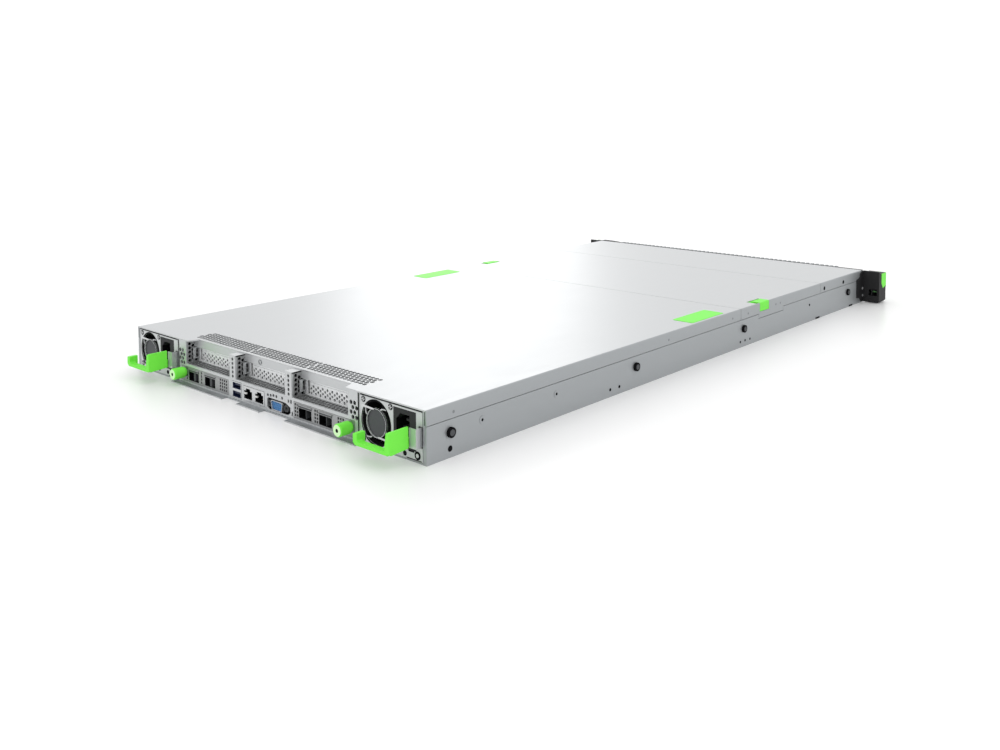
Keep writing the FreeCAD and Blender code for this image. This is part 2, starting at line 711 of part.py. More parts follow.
def finger_guard():
    """A ring before the fan hub, held by four swept spokes."""
    centre = (PSU_FAN_X, PSU_FAN_Z)
    hoop = plate("Y", (-SHEET, 0.0), polygon(centre, GUARD_OUT, 18), [polygon(centre, GUARD_IN, 18)])
    return fused([hoop] + [spoke(centre, 90.0 * i + 20.0) for i in range(4)])


def spoke(centre, turn):
    """A curved bar from the ring to the rim of the opening, drawn through three radii."""
    def at(radius, degrees):
        t = math.radians(turn + degrees)
        return (centre[0] + radius * math.cos(t), centre[1] + radius * math.sin(t))
    stations = ((GUARD_OUT - 0.5, 0.0, 6.0), (14.6, 7.0, 12.0), (FAN_BORE + 0.6, 24.0, 28.0))
    points = [at(radius, low) for radius, low, high in stations]
    points += [at(radius, high) for radius, low, high in reversed(stations)]
    return plate("Y", (-SHEET, 0.0), points)


def psu_inlet():
    """An upright appliance inlet: a recess with two cut corners on one side, and three pins."""
    body = box(about(INLET_X, INLET_W / 2.0), (-INLET_DEPTH, 0.0), (INLET_TOP - INLET_H, INLET_TOP))
    half = RECESS_W / 2.0
    tall = RECESS_H / 2.0
    edge = tall - RECESS_CORNER
    points = [(-half, -tall), (half - RECESS_CORNER, -tall), (half, -edge)]
    points += [(half, edge), (half - RECESS_CORNER, tall), (-half, tall)]
    middle = RECESS_TOP - tall
    recess = plate("Y", (-RECESS_DEPTH, 1.0), [(RECESS_X + a, middle + b) for a, b in points])
    wide, thick = INLET_PIN
    pins = []
    for x, z in ((-2.0, -7.0), (2.0, 0.0), (-2.0, 7.0)):
        spans = (about(RECESS_X + x, wide / 2.0), (-RECESS_DEPTH - 0.5, -4.0))
        pins.append(box(*spans, about(middle + z, thick / 2.0)))
    return fused([body.cut(recess)] + pins)


def psu_handle():
    """A pull loop behind the rear face: a broad side tab on a root, a bar and a short post."""
    back = HANDLE_REACH
    out = HANDLE_OUT
    post = HANDLE_IN - HANDLE_POST_W
    floor = HANDLE_LOW + HANDLE_BAR
    low_corner = [(HANDLE_IN - 2.4, HANDLE_LOW), (HANDLE_IN, HANDLE_LOW + 2.4)]
    loop = [(out, HANDLE_LOW + 1.6), (out + 1.6, HANDLE_LOW)] + low_corner
    loop += [(HANDLE_IN, floor + 1.5), (post, floor + 1.5), (post - 1.5, floor), (out + 5.6, floor)]
    loop += [(out + 3.4, HANDLE_HIGH - 0.8), (out, HANDLE_HIGH - 0.8)]
    bar = plate("Y", (back - HANDLE_DEEP, back), loop)
    leg_points = [(post, floor - 1.0), (HANDLE_IN, floor - 1.0), (HANDLE_IN, HANDLE_POST_HIGH - 1.0)]
    leg_points += [(HANDLE_IN - 1.0, HANDLE_POST_HIGH), (post, HANDLE_POST_HIGH)]
    leg = plate("Y", (back - HANDLE_POST_DEEP, back), leg_points)
    foot = LEAF_OUT + HANDLE_FOOT
    tab_points = [(back, HANDLE_LOW + 1.6), (back, HANDLE_HIGH - 0.8), (back - 1.0, HANDLE_HIGH)]
    tab_points += [(foot, HANDLE_HIGH), (foot, HANDLE_LOW + 1.2), (back - 2.0, HANDLE_LOW)]
    tab = plate("X", (out, out + HANDLE_TAB), tab_points)
    inner = ROOT_OUT + ROOT_T
    root = [(out + 1.0, foot), (ROOT_OUT, foot), (ROOT_OUT, 0.0), (inner, 0.0), (inner, foot + 3.0)]
    root.append((out + 1.0, foot + 3.0))
    return fused([bar, leg, tab, plate("Z", ROOT_Z, root)])


def psu_latch():
    """A sprung steel leaf: it leaves the case beside the inlet and turns towards the handle."""
    side_x = -PSU_W / 2.0 + 1.1
    end_x = ROOT_OUT - LEAF_TRAVEL - PLAY
    side = box((side_x, side_x + LEAF_T), (-LEAF_L, LEAF_OUT), (LEAF_LOW, LEAF_HIGH))
    end = box((side_x, end_x), (LEAF_OUT - LEAF_T, LEAF_OUT), (LEAF_LOW, LEAF_HIGH))
    tooth_points = [(side_x, -9.0), (side_x, -3.0), (side_x - 0.9, -3.0)]
    return fused([side, end, plate("Z", (LEAF_LOW + 4.0, LEAF_HIGH - 4.0), tooth_points)])


# Fans
def fan_frame(length, size):
    """A square fan body: a duct, and a motor plate on struts at its front end."""
    centre = (0.0, 0.0)
    bore = polygon(centre, FAN_BORE, FAN_SIDES, FAN_TURN)
    duct = plate("Y", (0.0, length), rect(about(0.0, size / 2.0), about(0.0, size / 2.0)), [bore])
    hub = plate("Y", (0.0, MOTOR_PLATE), polygon(centre, HUB_R - 1.0, 8))
    across = box(about(0.0, FAN_BORE), (0.0, MOTOR_PLATE), about(0.0, STRUT_W / 2.0))
    down = box(about(0.0, STRUT_W / 2.0), (0.0, MOTOR_PLATE), (-FAN_BORE, 0.0))
    return fused([duct, hub, across, down])


def fan_blade(turn):
    """One cambered blade with thin edges: a bent section, pitched to the axis, extruded outwards."""
    half = 0.46 * ROTOR_L
    section = [(-half, 0.0), (0.0, BLADE_CAMBER), (half, 0.0), (0.0, BLADE_CAMBER + BLADE_T)]
    blade = plate("Z", (HUB_R - 2.0, BLADE_R), section)
    blade.rotate(FreeCAD.Vector(0, 0, 0), FreeCAD.Vector(0, 0, 1), BLADE_PITCH)
    blade.rotate(FreeCAD.Vector(0, 0, 0), FreeCAD.Vector(0, 1, 0), turn)
    return moved(blade, y=ROTOR_L / 2.0)


def fan_rotor():
    """A hub with its blades; its front end turns on the flat face of the motor plate."""
    hub = plate("Y", (0.0, ROTOR_L), polygon((0.0, 0.0), HUB_R, FAN_SIDES))
    return fused([hub] + [fan_blade(360.0 * i / BLADES) for i in range(BLADES)])


def fan_places():
    first = -FAN_PITCH * (FAN_COUNT - 1) / 2.0
    return [first + FAN_PITCH * i for i in range(FAN_COUNT)]


# Main board
def supply_socket(x, back, top):
    """An edge connector that takes the tail of one power supply."""
    block = box((x - 30.0, x + 14.0), (back - 12.0, back), (top, 15.0))
    return block.cut(box((x - 26.5, x + 10.5), (back - 8.0, back + 1.0), (8.6, 11.0)))


def main_board():
    """The board with its sockets, memory connectors and supply connectors."""
    top = BOARD_Z + BOARD_T
    mid = BAY_WALL_X - SHEET - 2.0
    step = -MODULE_L - 8.0
    wide = -BAY_WALL_L - 10.0
    right = [(BOARD_HALF, BOARD_FRONT), (BOARD_HALF, wide), (mid, wide), (mid, step), (BOARD_TONGUE, step)]
    right.append((BOARD_TONGUE, -PORT_DEPTH))
    points = right + [(-x, y) for x, y in reversed(right)]
    parts = [plate("Z", (BOARD_Z, top), points)]
    for side in (1, -1):
        socket_y = about(CPU_Y, SOCKET_L / 2.0)
        parts.append(box(about(side * CPU_X, SOCKET_W / 2.0), socket_y, (top, top + SOCKET_H)))
        parts.append(box((side * 60.0, side * 120.0), (step - 7.5, step), (top, top + 6.0)))
        parts.append(supply_socket(side * PSU_X, wide, top))
    for x in dimm_places():
        spans = (about(x, DIMM_SOCKET_W / 2.0), about(CPU_Y, DIMM_SOCKET_L / 2.0))
        parts.append(box(*spans, (top, top + DIMM_SOCKET_H)))
    return fused(parts)


def dimm_places():
    """Memory places on each side of each processor, clear of its cooler."""
    offsets = [side * (DIMM_FROM + DIMM_PITCH * i) for side in (1, -1) for i in range(DIMM_ROWS)]
    return [cpu + offset for cpu in (CPU_X, -CPU_X) for offset in offsets]


def memory_module(x):
    low = BOARD_Z + BOARD_T + DIMM_SOCKET_H
    return box(about(x, DIMM_T / 2.0), about(CPU_Y, DIMM_L / 2.0), (low, low + DIMM_H))


def heatsink(x):
    low = BOARD_Z + BOARD_T + SOCKET_H
    spans = (about(x, COOLER_W / 2.0), about(CPU_Y, COOLER_L / 2.0))
    return fin_block(*spans, low, COOLER_TOP, COOLER_BASE, COOLER_FINS)


def riser_card(centre):
    """An upright card that carries one expansion connector behind a slot."""
    low = BOARD_Z + BOARD_T
    x = centre - SLOT_W / 2.0 + RISER_INSET
    face = x + BOARD_T
    near = -SLOT_DEPTH - 6.0
    far = near - RISER_L
    bottom = low if centre == 0.0 else MODULE_HIGH + 2.0
    card = plate("X", (x, face), rect((far, near), (bottom, RISER_TOP)))
    connector = box((face, face + RISER_SLOT_W), (far + 4.0, near - 10.0), RISER_SLOT_Z)
    mouth = box((face + 3.0, face + RISER_SLOT_W + 1.0), (far + 6.0, near - 12.0), RISER_MOUTH_Z)
    foot = box((x, face), (far - RISER_TAIL, far), (low, RISER_TOP))
    return fused([card, connector.cut(mouth), foot])


# Covers
def skirt(span, low):
    return box((WALL_IN, HALF_W), span, (low, UNDER))


def grille_slots():
    """Three fields of long slots over the rear end of the slots."""
    slots = []
    for low, high in GRILLE_SPANS:
        count = int((high - low - GRILLE_SLOT) / GRILLE_PITCH) + 1
        first = (low + high - (count - 1) * GRILLE_PITCH) / 2.0
        for i in range(count):
            span = about(first + i * GRILLE_PITCH, GRILLE_SLOT / 2.0)
            slots.append(rect(span, (-GRILLE_FROM - GRILLE_L, -GRILLE_FROM)))
    return slots


def rear_cover():
    """The long cover: notched above the slots, with a slotted grille and two pad pockets."""
    front = -REAR_COVER_L + COVER_GAP / 2.0
    points = [(-HALF_W, front), (HALF_W, front), (HALF_W, 0.0), (COVER_NOTCH_OUT, 0.0)]
    points += [(COVER_NOTCH_IN, -COVER_NOTCH), (-COVER_NOTCH_IN, -COVER_NOTCH)]
    points += [(-COVER_NOTCH_OUT, 0.0), (-HALF_W, 0.0)]
    top = plate("Z", (UNDER, BODY_H), points, grille_slots())
    side = skirt((front, 0.0), SEAM_Z + SEAM_GAP / 2.0)
    return cut(fused([top, side, mirror_x(side)]), [pad(1, SEAT), pad(-1, SEAT)])


def pad(side, margin=0.0):
    """A touch pad, sunk a little; with a margin it is the pocket that the pad lies in."""
    x = side * (HALF_W - PAD_INSET - PAD_W / 2.0)
    spans = (about(x, PAD_W / 2.0 + margin), about(PAD_AT, PAD_L / 2.0 + margin))
    return box(*spans, (BODY_H - PAD_SINK, BODY_H - PAD_SINK + PAD_T))


def touch_pad(side):
    block = pad(side)
    upright = [edge for edge in block.Edges if abs(edge.tangentAt(0.0).z) > 0.9]
    return block.makeChamfer(1.5, upright)


def middle_cover():
    """The fan cover: deeper skirts below its latches, and a notch for each latch."""
    back = -REAR_COVER_L - COVER_GAP / 2.0
    front = -REAR_COVER_L - MIDDLE_COVER_L + COVER_GAP / 2.0
    top = box(about(0.0, HALF_W), (front, back), (UNDER, BODY_H))
    deep_span = (DEEP_SKIRT[0] + PLAY, DEEP_SKIRT[1] - PLAY)
    deep = skirt(deep_span, DEEP_SEAM_Z + SEAM_GAP / 2.0)
    side = fused([skirt((front, back), SEAM_Z + SEAM_GAP / 2.0), deep])
    notch_y = (LATCH_SPAN[0] - PLAY, LATCH_SPAN[1] + PLAY)
    notch_x = (HALF_W - LATCH_TOP_W - LATCH_TRAVEL - 0.5, HALF_W + 1.0)
    notch = box(notch_x, notch_y, (BODY_H - LATCH_SIDE_H - PLAY, BODY_H + 1.0))
    return cut(fused([top, side, mirror_x(side)]), [notch, mirror_x(notch)])


def cover_latch():
    """A latch key that wraps the cover's edge, with a tongue that slides under the sheet."""
    inner = HALF_W - LATCH_TOP_W
    tongue_top = UNDER - 0.1
    top = box((inner, HALF_W), LATCH_SPAN, (UNDER, BODY_H + LATCH_PROUD))
    side = box((WALL_IN, HALF_W), LATCH_SPAN, (BODY_H - LATCH_SIDE_H, UNDER))
    tongue_y = (LATCH_SPAN[0] - 6.0, LATCH_SPAN[1] + 6.0)
    tongue = box((inner - TONGUE_W, inner + 3.0), tongue_y, (tongue_top - TONGUE_T, tongue_top))
    bridge = box((inner, inner + 3.0), LATCH_SPAN, (tongue_top, UNDER))
    key = fused([top, side, tongue, bridge])
    corner = FreeCAD.Vector(HALF_W, sum(LATCH_SPAN) / 2.0, BODY_H + LATCH_PROUD)
    outer = [edge for edge in key.Edges if edge.CenterOfMass.distanceToPoint(corner) < 0.1]
    return key.makeFillet(1.0, outer)


def front_cover():
    """The fixed cover over the drives, with small teeth along its front edge."""
    back = -REAR_COVER_L - MIDDLE_COVER_L - COVER_GAP / 2.0
    points = [(HALF_W, back), (-HALF_W, back), (-HALF_W, FRONT_Y)]
    pitch = BODY_W / (TEETH + 0.1)
    half = TOOTH_W / 2.0
    notch = FRONT_Y + TOOTH_L
    for i in range(TEETH):
        x = pitch * (i - (TEETH - 1) / 2.0)
        points += [(x - half, FRONT_Y), (x - half, notch), (x + half, notch), (x + half, FRONT_Y)]
    points.append((HALF_W, FRONT_Y))
    top = plate("Z", (UNDER, BODY_H), points)
    side = skirt((FRONT_Y, back), SEAM_Z + SEAM_GAP / 2.0)
    return fused([top, side, mirror_x(side)])


# Drive bays
def tray_places():
    first = -TRAY_PITCH * (TRAY_COUNT - 1) / 2.0
    return [first + TRAY_PITCH * i for i in range(TRAY_COUNT)]


def drive_cage():
    """Dividers between the trays under a shelf that carries the front strip."""
    vents = [rect(about(x, CAGE_VENT_HALF), CAGE_VENT_Y) for x in tray_places()]
    shelf_points = rect(about(0.0, UPPER_IN - PLAY), (FRONT_Y, CAGE_BACK))
    shelf = plate("Z", (CAGE_SHELF_Z, CAGE_SHELF_Z + CAGE_SHELF_T), shelf_points, vents)
    walls = []
    for i in range(TRAY_COUNT + 1):
        x = TRAY_PITCH * (i - TRAY_COUNT / 2.0)
        walls.append(box(about(x, CAGE_SHELF_T / 2.0), (FRONT_Y, CAGE_BACK), (SHEET, CAGE_SHELF_Z)))
    return fused([shelf] + walls)


def backplane():
    """The board behind the cage, with air gaps and one connector for each drive."""
    gaps = []
    connectors = []
    for x in tray_places():
        for side in (1, -1):
            gaps.append(rect((x + side * 10.0, x + side * CAGE_VENT_HALF), BACKPLANE_GAP_Z))
        socket_y = (CAGE_BACK - DRIVE_SOCKET[1], CAGE_BACK)
        connectors.append(box(about(x, DRIVE_SOCKET[0]), socket_y, DRIVE_SOCKET_Z))
    points = rect(about(0.0, UPPER_IN - 4.0), (SHEET, CAGE_SHELF_Z - PLAY))
    return fused([plate("Y", (CAGE_BACK, CAGE_BACK + BACKPLANE_T), points, gaps)] + connectors)


def lever_axis():
    """Place of the lever pin in a tray, from the tray's middle line and the rear face."""
    return (-TRAY_W / 2.0 + LEVER_INSET, FRONT_Y - TRAY_BEZEL + LEVER_T / 2.0 + 1.5)


def window_spans():
    """The windows of a lever, which go on through the bezel behind it."""
    first = lever_axis()[0] + WINDOW_FROM
    return [(first + WINDOW_PITCH * i, first + WINDOW_PITCH * i + WINDOW_W) for i in range(WINDOWS)]


def drive_tray():
    """Carrier with side rails and a floor, and a bezel with a lever pocket and air windows."""
    half = TRAY_W / 2.0
    front = FRONT_Y - TRAY_BEZEL
    through = (front - 1.0, FRONT_Y + 1.0)
    pin_x, pin_y = lever_axis()
    pocket_end = pin_x + LEVER_L + 0.4
    pocket_x = (pin_x - LEVER_SWING, pocket_end)
    cuts = [box(pocket_x, (front - 1.0, pin_y + LEVER_SWING), about(LEVER_Z, LEVER_H / 2.0 + PLAY))]
    bore = polygon((pin_x, pin_y), LEVER_PIN_R + AXLE_PLAY, PIN_SIDES)
    cuts.append(plate("Z", about(LEVER_Z, LEVER_H / 2.0 + LEVER_PIN_OUT + 0.2), bore))
    cuts += [box(span, through, about(LEVER_Z, WINDOW_H / 2.0)) for span in window_spans()]
    for i in range(2):
        x = pocket_end + 3.6 + 6.4 * i
        cuts.append(box((x, x + 3.6), through, about(LEVER_Z, 8.0)))
    bezel = cut(box((-half, half), (front, FRONT_Y), (TRAY_LOW, TRAY_HIGH)), cuts)
    deck_y = (FRONT_Y, FRONT_Y + DISK_L)
    deck = box((-half, half), deck_y, (TRAY_LOW, TRAY_LOW + TRAY_DECK))
    rails = []
    for side in (1, -1):
        rail_x = (side * (DISK_W / 2.0 + SEAT), side * half)
        rails.append(box(rail_x, deck_y, (TRAY_LOW + TRAY_DECK, TRAY_RAIL_HIGH)))
    return fused([bezel, deck] + rails)


def hard_disk():
    """The disk in its carrier, with the stepped lid of such a drive."""
    low = TRAY_LOW + TRAY_DECK
    step = low + DISK_H - 1.0
    y_span = (FRONT_Y + PLAY, FRONT_Y + DISK_L)
    body = box(about(0.0, DISK_W / 2.0), y_span, (low, step))
    lid_y = (y_span[0] + DISK_STEP, y_span[1] - DISK_STEP)
    return fused([body, box(about(0.0, DISK_W / 2.0 - DISK_STEP), lid_y, (step, low + DISK_H))])


def tray_lever():
    """An ejector lever: a windowed frame that swings on a pin at its left end."""
    pin_x, pin_y = lever_axis()
    half = LEVER_T / 2.0
    windows = [rect(span, about(LEVER_Z, WINDOW_H / 2.0)) for span in window_spans()]
    arm_points = rect((pin_x - half, pin_x + LEVER_L), about(LEVER_Z, LEVER_H / 2.0))
    arm = plate("Y", about(pin_y, half), arm_points, windows)
    pin_z = about(LEVER_Z, LEVER_H / 2.0 + LEVER_PIN_OUT)
    return fused([arm, plate("Z", pin_z, polygon((pin_x, pin_y), LEVER_PIN_R, PIN_SIDES))])


# Front strip and buttons
def front_panel():
    """The strip above the trays, with button holes, two sockets and air slots."""
    half = UPPER_IN - 1.0
    holes = [polygon((POWER_X, STRIP_Z), POWER_R + PLAY, BUTTON_SIDES)]
    holes.append(polygon((ID_X, STRIP_Z), ID_R + PLAY, BUTTON_SIDES))
    for x in FRONT_USB_X:
        holes.append(rect(about(x, FRONT_USB[0] / 2.0), about(STRIP_Z, FRONT_USB[1] / 2.0)))
    for i in range(STRIP_VENTS):
        x = -POWER_X + 4.0 + STRIP_VENT_W / 2.0 + STRIP_VENT_PITCH * i
        holes.append(rect(about(x, STRIP_VENT_W / 2.0), about(STRIP_Z, STRIP_VENT_H / 2.0)))
    front = FRONT_Y - STRIP_DEPTH
    inner = (front + STRIP_FACE, FRONT_Y)
    face = plate("Y", (front, front + STRIP_FACE), rect((-half, half), (STRIP_LOW, UNDER)), holes)
    top = box((-half, half), inner, (UNDER - 0.8, UNDER))
    floor = box((-half, half), inner, (STRIP_LOW, STRIP_LOW + 0.8))
    return fused([face, top, floor])


def push_button(x, radius):
    """A many-sided cap with a square foot behind the panel."""
    back = FRONT_Y - STRIP_DEPTH + STRIP_FACE
    cap = plate("Y", (back - BUTTON_OUT, back), polygon((x, STRIP_Z), radius, BUTTON_SIDES))
    half = radius + 0.6
    return fused([cap, box(about(x, half), (back, back + BUTTON_FOOT), about(STRIP_Z, half))])


# Rack ears
def ear():
    """Right ear: side plate, flange with a rack hole and a hook window, and a housing."""
    front = FLANGE_Y - EAR_DEPTH
    side = box((EAR_IN, EAR_IN + EAR_PLATE[0]), (FLANGE_Y, FLANGE_Y + EAR_PLATE[1]), EAR_PLATE_Z)
    nose = [(EAR_IN, FLANGE_Y), (EAR_IN, front + 3.0), (EAR_IN + 3.0, front), (EAR_OUT - 4.0, front)]
    nose += [(EAR_OUT, front + 4.0), (EAR_OUT, FLANGE_Y)]
    lever_y = (front - 1.0, FLANGE_Y - 2.0)
    lever_bay = box((EAR_LEVER_X - 0.8, EAR_OUT + 1.0), lever_y, (EAR_LEVER_LOW - PLAY, EAR_HIGH + 1.0))
    hook_y = (FLANGE_Y - 12.0, FLANGE_Y + 1.0)
    hook_bay = box((HOOK_IN - 3.0, EAR_OUT + 1.0), hook_y, (HOOK_LOW - PLAY, EAR_LEVER_LOW))
    keep_z = (HOOK_LOW - 1.0, EAR_LEVER_LOW + 1.0)
    keep = box((HOOK_OUT + 1.4, EAR_OUT + 2.0), about(FLANGE_Y, 2.0), keep_z)
    rack_hole = rod("Y", (RACK_HOLE_X, RACK_HOLE_Z), front - 1.0, FLANGE_Y + 1.0, RACK_HOLE_R)
    bore = plate("Z", (HOOK_LOW - 5.0, HOOK_LOW), polygon(EAR_PIVOT, LEVER_PIN_R + AXLE_PLAY, PIN_SIDES))
    body = fused([side, plate("Z", (EAR_LOW, EAR_HIGH), nose)])
    return cut(body, [lever_bay, hook_bay.cut(keep), rack_hole, bore])


def ear_lever():
    """Right ear lever: a grip at the outer edge, a hook in the flange window and a pivot pin."""
    front = FLANGE_Y - EAR_DEPTH
    back = FLANGE_Y - 2.6
    grip = [(EAR_LEVER_X, back), (EAR_LEVER_X, front + 1.0), (EAR_LEVER_X + 1.0, front)]
    grip += [(EAR_OUT - 1.0, front), (EAR_OUT, front + 1.0), (EAR_OUT, back)]
    blade = plate("Z", (EAR_LEVER_LOW, EAR_HIGH), grip)
    arm_points = [(HOOK_IN, FLANGE_Y - 1.0), (HOOK_IN, FLANGE_Y - 5.0), (EAR_LEVER_X, FLANGE_Y - 8.0)]
    arm_points += [(EAR_OUT - 0.4, FLANGE_Y - 8.0), (EAR_OUT - 0.4, back), (HOOK_OUT, back)]
    arm_points.append((HOOK_OUT, FLANGE_Y - 1.0))
    arm = plate("Z", (HOOK_LOW, EAR_LEVER_LOW), arm_points)
    pin = plate("Z", (HOOK_LOW - 4.0, HOOK_LOW), polygon(EAR_PIVOT, LEVER_PIN_R, PIN_SIDES))
    return fused([blade, arm, pin])


# Writing the nodes
def save_chassis():
    save("chassis_tray", chassis_tray())
    save("board_posts", *board_posts())
    save("rear_frame", rear_frame())
    save("slot_brackets", *[slot_bracket(centre) for centre in SLOT_X])
    save("riser_cards", *[riser_card(centre) for centre in SLOT_X])
    save("usb_ports", usb_ports())
    save("network_ports", network_ports())
    save("vga_port", vga_port())
    save("vga_insert", vga_insert())
    save("main_board", main_board())
    save("heatsinks", heatsink(CPU_X), heatsink(-CPU_X))
    save("memory_modules", *[memory_module(x) for x in dimm_places()])
    save("drive_cage", drive_cage())
    save("backplane", backplane())
    save("front_panel", front_panel())
    save("power_button", push_button(POWER_X, POWER_R))
    save("id_button", push_button(ID_X, ID_R))
    save("rail_studs", *rail_studs())


def save_covers():
    save("rear_cover", rear_cover())
    save("touch_pads", touch_pad(1), touch_pad(-1))
    save("middle_cover", middle_cover())
    save("front_cover", front_cover())
    save("cover_latch_right", cover_latch())
    save("cover_latch_left", mirror_x(cover_latch()))


def save_ears():
    save("ear_right", ear())
    save("ear_left", mirror_x(ear()))
    save("ear_lever_right", ear_lever())
    save("ear_lever_left", mirror_x(ear_lever()))


def save_rear_units():
    """The two power supplies and the two network modules."""
    fan_y = -SHEET - PSU_FAN_L
    frame = moved(fan_frame(PSU_FAN_L, PSU_FAN_SIZE), x=PSU_FAN_X, y=fan_y, z=PSU_FAN_Z)
    rotor = moved(fan_rotor(), x=PSU_FAN_X, y=fan_y + MOTOR_PLATE, z=PSU_FAN_Z)
    parts = {"case": psu_case(), "inlet": psu_inlet(), "handle": psu_handle(), "latch": psu_latch()}
    parts.update({"fan_frame": frame, "rotor": rotor})
    for number, side in ((1, 1), (2, -1)):
        save(f"network_module_{number}", network_module(number, side))
        save(f"thumbscrew_{number}", thumbscrew(side))
        for name, shape in parts.items():
            save(f"psu_{number}_{name}", moved(shape, x=side * PSU_X))


def save_fans():
    z = SHEET + FAN_SIZE / 2.0
    housing = fan_frame(FAN_L, FAN_SIZE)
    wheel = fan_rotor()
    save("fan_housings", *[moved(housing, x=x, y=FAN_FRONT, z=z) for x in fan_places()])
    for number, x in enumerate(fan_places(), 1):
        save(f"fan_rotor_{number}", moved(wheel, x=x, y=FAN_FRONT + MOTOR_PLATE, z=z))


def save_drives():
    for number, x in enumerate(tray_places(), 1):
        save(f"drive_tray_{number}", moved(drive_tray(), x=x), moved(hard_disk(), x=x))
        save(f"tray_lever_{number}", moved(tray_lever(), x=x))


os.makedirs("parts", exist_ok=True)
save_chassis()
save_covers()
save_ears()
save_rear_units()
save_fans()
save_drives()
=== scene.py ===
import json
import math

import bmesh
import bpy
from mathutils import Matrix, Vector


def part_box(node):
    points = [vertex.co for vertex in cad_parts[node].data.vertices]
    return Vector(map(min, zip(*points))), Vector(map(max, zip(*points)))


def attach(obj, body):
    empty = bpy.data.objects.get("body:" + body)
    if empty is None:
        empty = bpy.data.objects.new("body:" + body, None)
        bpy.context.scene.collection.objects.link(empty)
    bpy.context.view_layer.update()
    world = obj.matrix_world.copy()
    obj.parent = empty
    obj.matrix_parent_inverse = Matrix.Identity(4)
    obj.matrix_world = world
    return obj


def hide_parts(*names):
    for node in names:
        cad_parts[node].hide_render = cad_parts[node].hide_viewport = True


# A one-unit rack server on a white table, seen from its rear corner.
# Places are in millimetres: X and Z as in the frame, Y from the rear face, as in the solids.

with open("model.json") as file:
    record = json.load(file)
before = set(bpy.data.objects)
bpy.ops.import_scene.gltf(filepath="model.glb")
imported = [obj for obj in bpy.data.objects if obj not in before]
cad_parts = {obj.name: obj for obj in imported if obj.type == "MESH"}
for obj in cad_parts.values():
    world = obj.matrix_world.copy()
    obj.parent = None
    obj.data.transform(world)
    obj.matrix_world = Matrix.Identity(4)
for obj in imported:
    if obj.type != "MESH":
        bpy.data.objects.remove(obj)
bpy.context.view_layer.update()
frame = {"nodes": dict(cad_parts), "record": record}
NODES = frame["nodes"]

MM = 0.001
LIP = 7.5
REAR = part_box("chassis_tray")[1].y - LIP * MM


def place(x, y, z):
    return Vector((x * MM, REAR + y * MM, z * MM))


def spans(node):
    """The three spans of a node at rest, in millimetres."""
    low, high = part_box(node)
    along = ((low.y - REAR) / MM, (high.y - REAR) / MM)
    return ((low.x / MM, high.x / MM), along, (low.z / MM, high.z / MM))


# Driving dimensions, most of them read from the solids
SHEET = 1.2
HALF_W = spans("rear_cover")[0][1]
TOP = spans("rear_cover")[2][1]
SEAM_Z = spans("rear_cover")[2][0]
UNDER = TOP - SHEET
BAY_X = spans("rear_frame")[0][1]
BAY_WALL_Y = spans("rear_frame")[1][0]
FRONT_Y = spans("front_cover")[1][0]
SLOT_PITCH = 86.5
SLOT_W = 76.0
SLOT_X = (SLOT_PITCH, 0.0, -SLOT_PITCH)
SLOT_DEPTH = 14.0
SLOT_FLOOR = 19.9
END_STRIP_X = 124.5
LIP_SPANS = ((52.5, 141.0), (-8.0, 27.5), (-141.0, -46.5))
FASCIA_Y = -10.0
FASCIA_LOW = 35.0
SMOOTH_ANGLE = math.radians(33.0)
HEX_TURN = math.pi / 6.0
SKIN = 0.1


# Shapes: points and faces in millimetres, joined into pieces
MERGE_DISTANCE = 0.001
ROUNDING = 0.001


def about(centre, half):
    return (centre - half, centre + half)


def rect(a, b):
    return [(min(a), min(b)), (max(a), min(b)), (max(a), max(b)), (min(a), max(b))]


def polygon(centre, radius, sides=24, turn=0.0):
    angles = [turn + math.tau * i / sides for i in range(sides)]
    return [(centre[0] + radius * math.cos(t), centre[1] + radius * math.sin(t)) for t in angles]


def mirrored(side, points):
    """The points on one side of the middle: 1 keeps them, -1 turns them to the other side."""
    return [(side * a, b) for a, b in points]


def on_axis(axis, at, a, b):
    if axis == "X":
        return (at, a, b)
    if axis == "Y":
        return (a, at, b)
    return (a, b, at)


def prism(axis, span, points, tip=None):
    """A closed prism along an axis; with tip, the outline of its far end."""
    count = len(points)
    verts = [on_axis(axis, span[0], a, b) for a, b in points]
    verts += [on_axis(axis, span[1], a, b) for a, b in (tip or points)]
    faces = [tuple(range(count)), tuple(range(count, 2 * count))]
    for i in range(count):
        j = (i + 1) % count
        faces.append((i, j, count + j, count + i))
    return verts, faces


def block(x, y, z):
    return prism("Z", z, rect(x, y))


def rod(axis, span, centre, radius, sides=24):
    return prism(axis, span, polygon(centre, radius, sides))


def ring(axis, span, centre, outer, inner, sides=32):
    return pierced(axis, span, polygon(centre, outer, sides), [polygon(centre, inner, sides)])


def pierced(axis, span, points, holes):
    """A flat plate with holes, filled by a two-dimensional curve."""
    curve = bpy.data.curves.new("plate", "CURVE")
    curve.dimensions = "2D"
    curve.fill_mode = "BOTH"
    curve.extrude = abs(span[1] - span[0]) / 2.0
    for corners in [points, *holes]:
        spline = curve.splines.new("POLY")
        spline.points.add(len(corners) - 1)
        for point, (a, b) in zip(spline.points, corners):
            point.co = (a, b, 0.0, 1.0)
        spline.use_cyclic_u = True
    holder = bpy.data.objects.new("plate", curve)
    mesh = bpy.data.meshes.new_from_object(holder)
    middle = (span[0] + span[1]) / 2.0
    turn = -1.0 if axis == "Y" else 1.0
    shape = bmesh.new()
    shape.from_mesh(mesh)
    bmesh.ops.remove_doubles(shape, verts=shape.verts, dist=MERGE_DISTANCE)
    shape.verts.index_update()
    verts = [on_axis(axis, middle + turn * v.co.z, v.co.x, v.co.y) for v in shape.verts]
    faces = [tuple(v.index for v in face.verts) for face in shape.faces]
    shape.free()
    bpy.data.meshes.remove(mesh)
    bpy.data.objects.remove(holder)
    bpy.data.curves.remove(curve)
    return verts, faces


